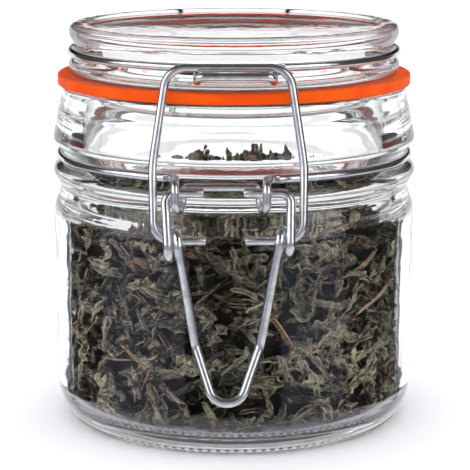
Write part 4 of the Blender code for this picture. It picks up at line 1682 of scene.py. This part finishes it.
    def light(self) -> None:
        """The whole world. Where two parts overlap the brighter counts, and matt surfaces see it plain."""
        world = bpy.data.worlds.new("soft_studio")
        bpy.context.scene.world = world
        world.use_nodes = True
        graph = Graph(world.node_tree)
        parts = graph.node("ShaderNodeSeparateXYZ")
        graph.feed(parts.inputs["Vector"], graph.node("ShaderNodeTexCoord").outputs["Generated"])
        x, y, z = (parts.outputs[name] for name in "XYZ")
        azimuth = graph.math("DEGREES", graph.math("ARCTAN2", x, graph.math("MULTIPLY", y, -1.0)))
        height = graph.math("DEGREES", graph.math("ARCSINE", z))
        away = graph.math("ABSOLUTE", azimuth)
        behind = graph.math("GREATER_THAN", away, self.backdrop_from)
        path = graph.node("ShaderNodeLightPath")
        boxes = self.boxes(graph, azimuth)
        upper = graph.math("MULTIPLY", graph.between(height, 0.0, self.box_top), self.box_glow)
        lower = graph.between(height, -self.steep, 0.0)
        both = graph.math("ADD", upper, graph.math("MULTIPLY", lower, self.low_box_glow))
        on_tea = graph.math("MULTIPLY_ADD", lights_tea(graph, path), self.box_on_tea - 1.0, 1.0)
        strength = graph.math("MULTIPLY", graph.math("MULTIPLY", boxes, both), on_tea)
        beside = graph.between(away, self.right_box[1], self.backdrop_from)
        others = (
            self.backdrop(graph, path, behind, height),
            graph.math("MULTIPLY", graph.math("LESS_THAN", height, -self.steep), self.table_glow),
            graph.math("MULTIPLY", beside, self.side_glow),
            graph.math("MULTIPLY", graph.math("GREATER_THAN", height, self.box_top), self.ceiling_glow),
            self.front(graph, path, away, height),
            self.room_behind_glass(graph, path, away, behind, height),
            self.room,
        )
        for part in others:
            strength = graph.math("MAXIMUM", strength, part)
        mixed = graph.node("ShaderNodeMix", data_type="FLOAT")
        plain = graph.math("MAXIMUM", path.outputs["Is Camera Ray"], path.outputs["Is Diffuse Ray"])
        graph.feed(mixed.inputs["Factor"], plain)
        graph.feed(mixed.inputs["A"], strength)
        graph.feed(mixed.inputs["B"], self.plain_glow)
        tint = graph.node("ShaderNodeMix", data_type="RGBA")
        graph.feed(tint.inputs["Factor"], graph.math("MULTIPLY", boxes, lower))
        tint.inputs["A"].default_value = (*self.light_colour, 1.0)
        tint.inputs["B"].default_value = (*self.low_box_colour, 1.0)
        shader = graph.node("ShaderNodeBackground")
        graph.feed(shader.inputs["Color"], tint.outputs["Result"])
        graph.feed(shader.inputs["Strength"], mixed.outputs["Result"])
        out = graph.node("ShaderNodeOutputWorld")
        graph.feed(out.inputs["Surface"], shader.outputs["Background"])

    def camera(self) -> None:
        """The camera at the picture's viewing angle."""
        data = bpy.data.cameras.new("view")
        data.lens = self.lens
        data.sensor_width = 36.0
        data.clip_start = 0.01
        data.clip_end = 50.0
        camera = bpy.data.objects.new("view", data)
        bpy.context.scene.collection.objects.link(camera)
        camera.location = self.camera_place
        camera.rotation_euler = Euler((math.radians(90 - self.camera_tilt), 0.0, 0.0))
        bpy.context.scene.camera = camera

    def build(self) -> None:
        """Set the whole studio up."""
        self.floor()
        self.light()
        self.camera()
        scene = bpy.context.scene
        scene.view_settings.view_transform = "Standard"
        scene.cycles.max_bounces = self.light_turns
        scene.cycles.glossy_bounces = self.light_turns
        scene.cycles.transmission_bounces = self.light_turns


def main() -> None:
    """Build and dress every piece, then the studio."""
    logging.basicConfig(level=logging.INFO, format="%(name)s: %(message)s")
    jar_glass = GlassFinish(
        "clear_jar_glass", coarse=45.0, fine=220.0, fine_share=0.15, bump=0.08, bump_distance=0.002
    ).make()
    lid_glass = GlassFinish(
        "clear_lid_glass", coarse=60.0, fine=240.0, fine_share=0.15, bump=0.04, bump_distance=0.002
    ).make()
    rubber = RubberFinish(
        "orange_rubber", coarse=160.0, fine=2600.0, fine_share=0.6, bump=0.25, bump_distance=0.0001
    ).make()
    plated = WireFinish(
        "bright_zinc_plate", coarse=420.0, fine=3800.0, fine_share=0.5, bump=0.08, bump_distance=0.00005
    ).make()

    jar = GlassJar()
    jar_piece = jar.build()
    jar.knurl_base(jar_piece)
    dress(jar_piece, jar_glass, "jar", "jar")
    dress(GlassLid().build(), lid_glass, "lid", "lid")
    dress(RubberSeal().build(), rubber, "lid", "gasket")
    dress(NeckWire().build(), plated, "jar", "neck_wire")
    dress(LidWire().build(), plated, "lid", "lid_wire")
    dress(Lever().build(), plated, "lever", "lever")
    dress(Bail().build(), plated, "bail", "bail")

    finishes = tea_finishes()
    heap = TeaHeap(jar, leaf_lots())
    dress(heap.core(), finishes["core"], "jar", "tea")
    for lot in heap.lots:
        dress(heap.scatter(lot), finishes[lot.name.rsplit("_", 1)[1]], "jar", "tea")

    Studio().build()


if __name__ == "__main__":
    main()
